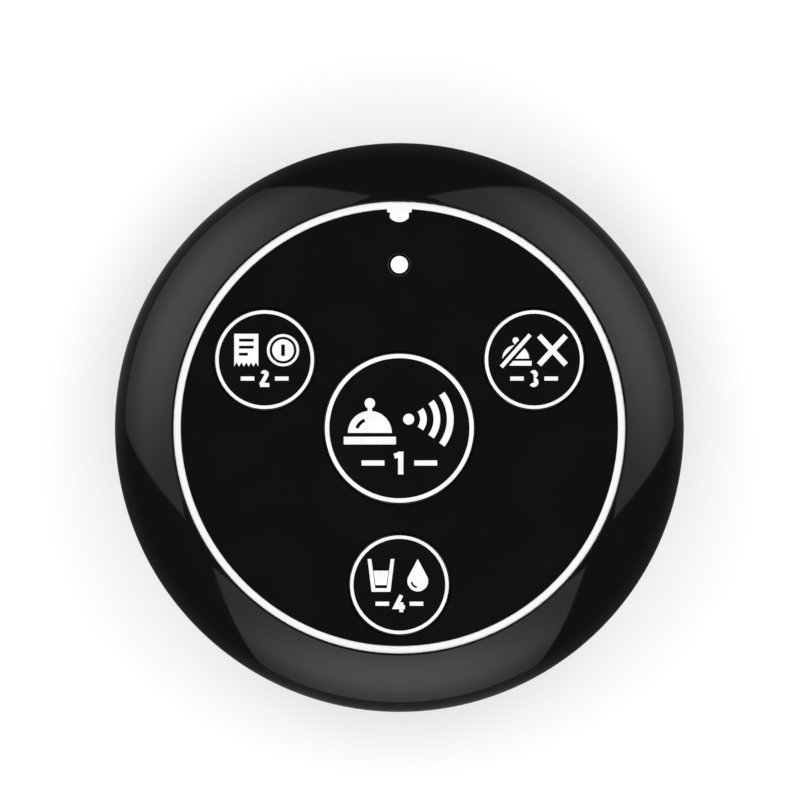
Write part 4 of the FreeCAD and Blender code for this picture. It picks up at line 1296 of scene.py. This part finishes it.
floor_mesh = bpy.data.meshes.new("floor")
corners = [(-1, -1), (1, -1), (1, 1), (-1, 1)]
floor_points = [(x * floor_half, y * floor_half, -floor_sink) for x, y in corners]
floor_mesh.from_pydata(floor_points, [], [(0, 1, 2, 3)])
floor = linked_object("floor", floor_mesh)
floor_finish, tree, shader = new_finish("floor_sheet", Roughness=floor_roughness,
                                        Emission_Strength=floor_glow)
place = object_place(tree)
shader.inputs["Base Color"].default_value = floor_tone
shader.inputs["Emission Color"].default_value = white
feed(tree, shader, Normal=bumped(tree, noise(tree, place, floor_grit_size, 2.0), floor_grit_depth))
backing = tree.nodes.new("ShaderNodeNewGeometry").outputs["Backfacing"]
seen = tree.nodes.new("ShaderNodeLightPath").outputs["Is Camera Ray"]
clear = tree.nodes.new("ShaderNodeBsdfTransparent").outputs[0]
from_beneath = times(tree, backing, seen)
sides = add_node(tree, "ShaderNodeMixShader", {0: from_beneath, 1: shader.outputs[0], 2: clear})
tree.links.new(sides.outputs[0], tree.nodes["Material Output"].inputs["Surface"])
floor_mesh.materials.append(floor_finish)
floor.visible_glossy = False

# In reflections the room is faint, and brightest low down behind the softboxes
world = bpy.data.worlds.new("studio")
bpy.context.scene.world = world
world.use_nodes = True
tree = world.node_tree
background = tree.nodes["Background"]
background.inputs["Color"].default_value = white
rays = tree.nodes.new("ShaderNodeLightPath").outputs
way = axes_of(tree, tree.nodes.new("ShaderNodeTexCoord").outputs["Generated"])
low_glow = spread(tree, way["Z"], *sky_glow_heights)
turn = calc(tree, "ARCTAN2", way["Y"], way["X"])
sector = calc(tree, "COSINE", times_plus(tree, turn, sky_glow_sectors, -math.pi / 2))
glow = spread(tree, sector, *sky_sector_edges, *sky_sector_levels)
glossy_level = times(tree, glow, low_glow)
glossy_part = times(tree, glossy_level, rays["Is Glossy Ray"])
lit_level = times_plus(tree, rays["Is Camera Ray"], backdrop_strength - sky_strength, sky_strength)
not_glossy = less(tree, 1.0, rays["Is Glossy Ray"])
level = times_plus(tree, lit_level, not_glossy, glossy_part)
tree.links.new(level, background.inputs["Strength"])

# Each softbox is a cloth with bowed sides and top, darker towards its sides, its hem and its low end.
# A place on it is a share of its distance. A lean is how far a place lies to the side, over its
# distance from the button's upright axis.
tilt = math.radians(box_tilt)
for i, (angle, box_level) in enumerate(box_levels.items()):
    turn = math.radians(angle)
    out = Vector((math.sin(tilt) * math.cos(turn), math.sin(tilt) * math.sin(turn), math.cos(tilt)))
    side = Vector((-math.sin(turn), math.cos(turn), 0.0))
    up = out.cross(side)
    light = bpy.data.lights.new("softbox_" + str(i + 1), "AREA")
    light.shape = "RECTANGLE"
    light.size = box_width_share * box_distance
    light.size_y = (box_high_share - box_low_share) * box_distance
    light.energy = math.pi * light.size * light.size_y
    light.use_nodes = True
    tree = light.node_tree
    on_cloth = tree.nodes.new("ShaderNodeNewGeometry").outputs["Parametric"]
    spot = axes_of(tree, on_cloth)
    height = times_plus(tree, spot["Y"], box_high_share - box_low_share, box_low_share)
    reach = times_plus(tree, height, -math.cos(tilt), math.sin(tilt))
    off_middle = times(tree, less(tree, spot["X"], 0.5), box_width_share)
    lean = calc(tree, "DIVIDE", unsigned(tree, off_middle), reach)
    side_level = spread(tree, height, *box_side_heights, box_side_level, box_top_side_level)
    side_part = spread(tree, lean, *box_side_leans, 1.0, side_level)
    lean_squared = times(tree, lean, lean)
    hem = spread(tree, times_plus(tree, lean_squared, -box_hem_sink, height), *box_hem_heights)
    sunk = times_plus(tree, lean_squared, -box_corner_sink, height)
    low_part = spread(tree, sunk, *box_low_heights, *box_low_levels)
    high_part = spread(tree, height, *box_high_heights, *box_high_levels)
    from_bow = less(tree, height, box_bow_height)
    half_width = times_plus(tree, times(tree, from_bow, from_bow), -box_bow, box_width_share / 2)
    within_sides = less(tree, half_width, unsigned(tree, off_middle))
    top_height = times_plus(tree, times(tree, off_middle, off_middle), -box_top_bow, box_top_share)
    within_top = less(tree, top_height, height)
    inside = spread(tree, calc(tree, "MINIMUM", within_sides, within_top), 0.0, box_edge_blur)
    parts = [low_part, high_part, side_part, hem, inside]
    cloth = box_level
    for part in parts:
        cloth = times(tree, cloth, part)
    tree.links.new(cloth, tree.nodes["Emission"].inputs["Strength"])
    lamp = linked_object(light.name, light)
    middle = out * box_distance + up * (box_high_share + box_low_share) / 2 * box_distance
    middle.z += rim_height
    lamp.matrix_world = Matrix.Translation(middle) @ Matrix((side, up, out)).transposed().to_4x4()
    lamp.visible_camera = False

camera_data = bpy.data.cameras.new("camera")
camera_data.lens = lens_length
camera_data.sensor_width = sensor_width
camera_data.clip_start = camera_near
camera_data.clip_end = camera_far
camera = linked_object("camera", camera_data)
camera.location = (camera_x, camera_y, rim_height + camera_height)
bpy.context.scene.camera = camera
bpy.context.scene.view_settings.view_transform = "Standard"
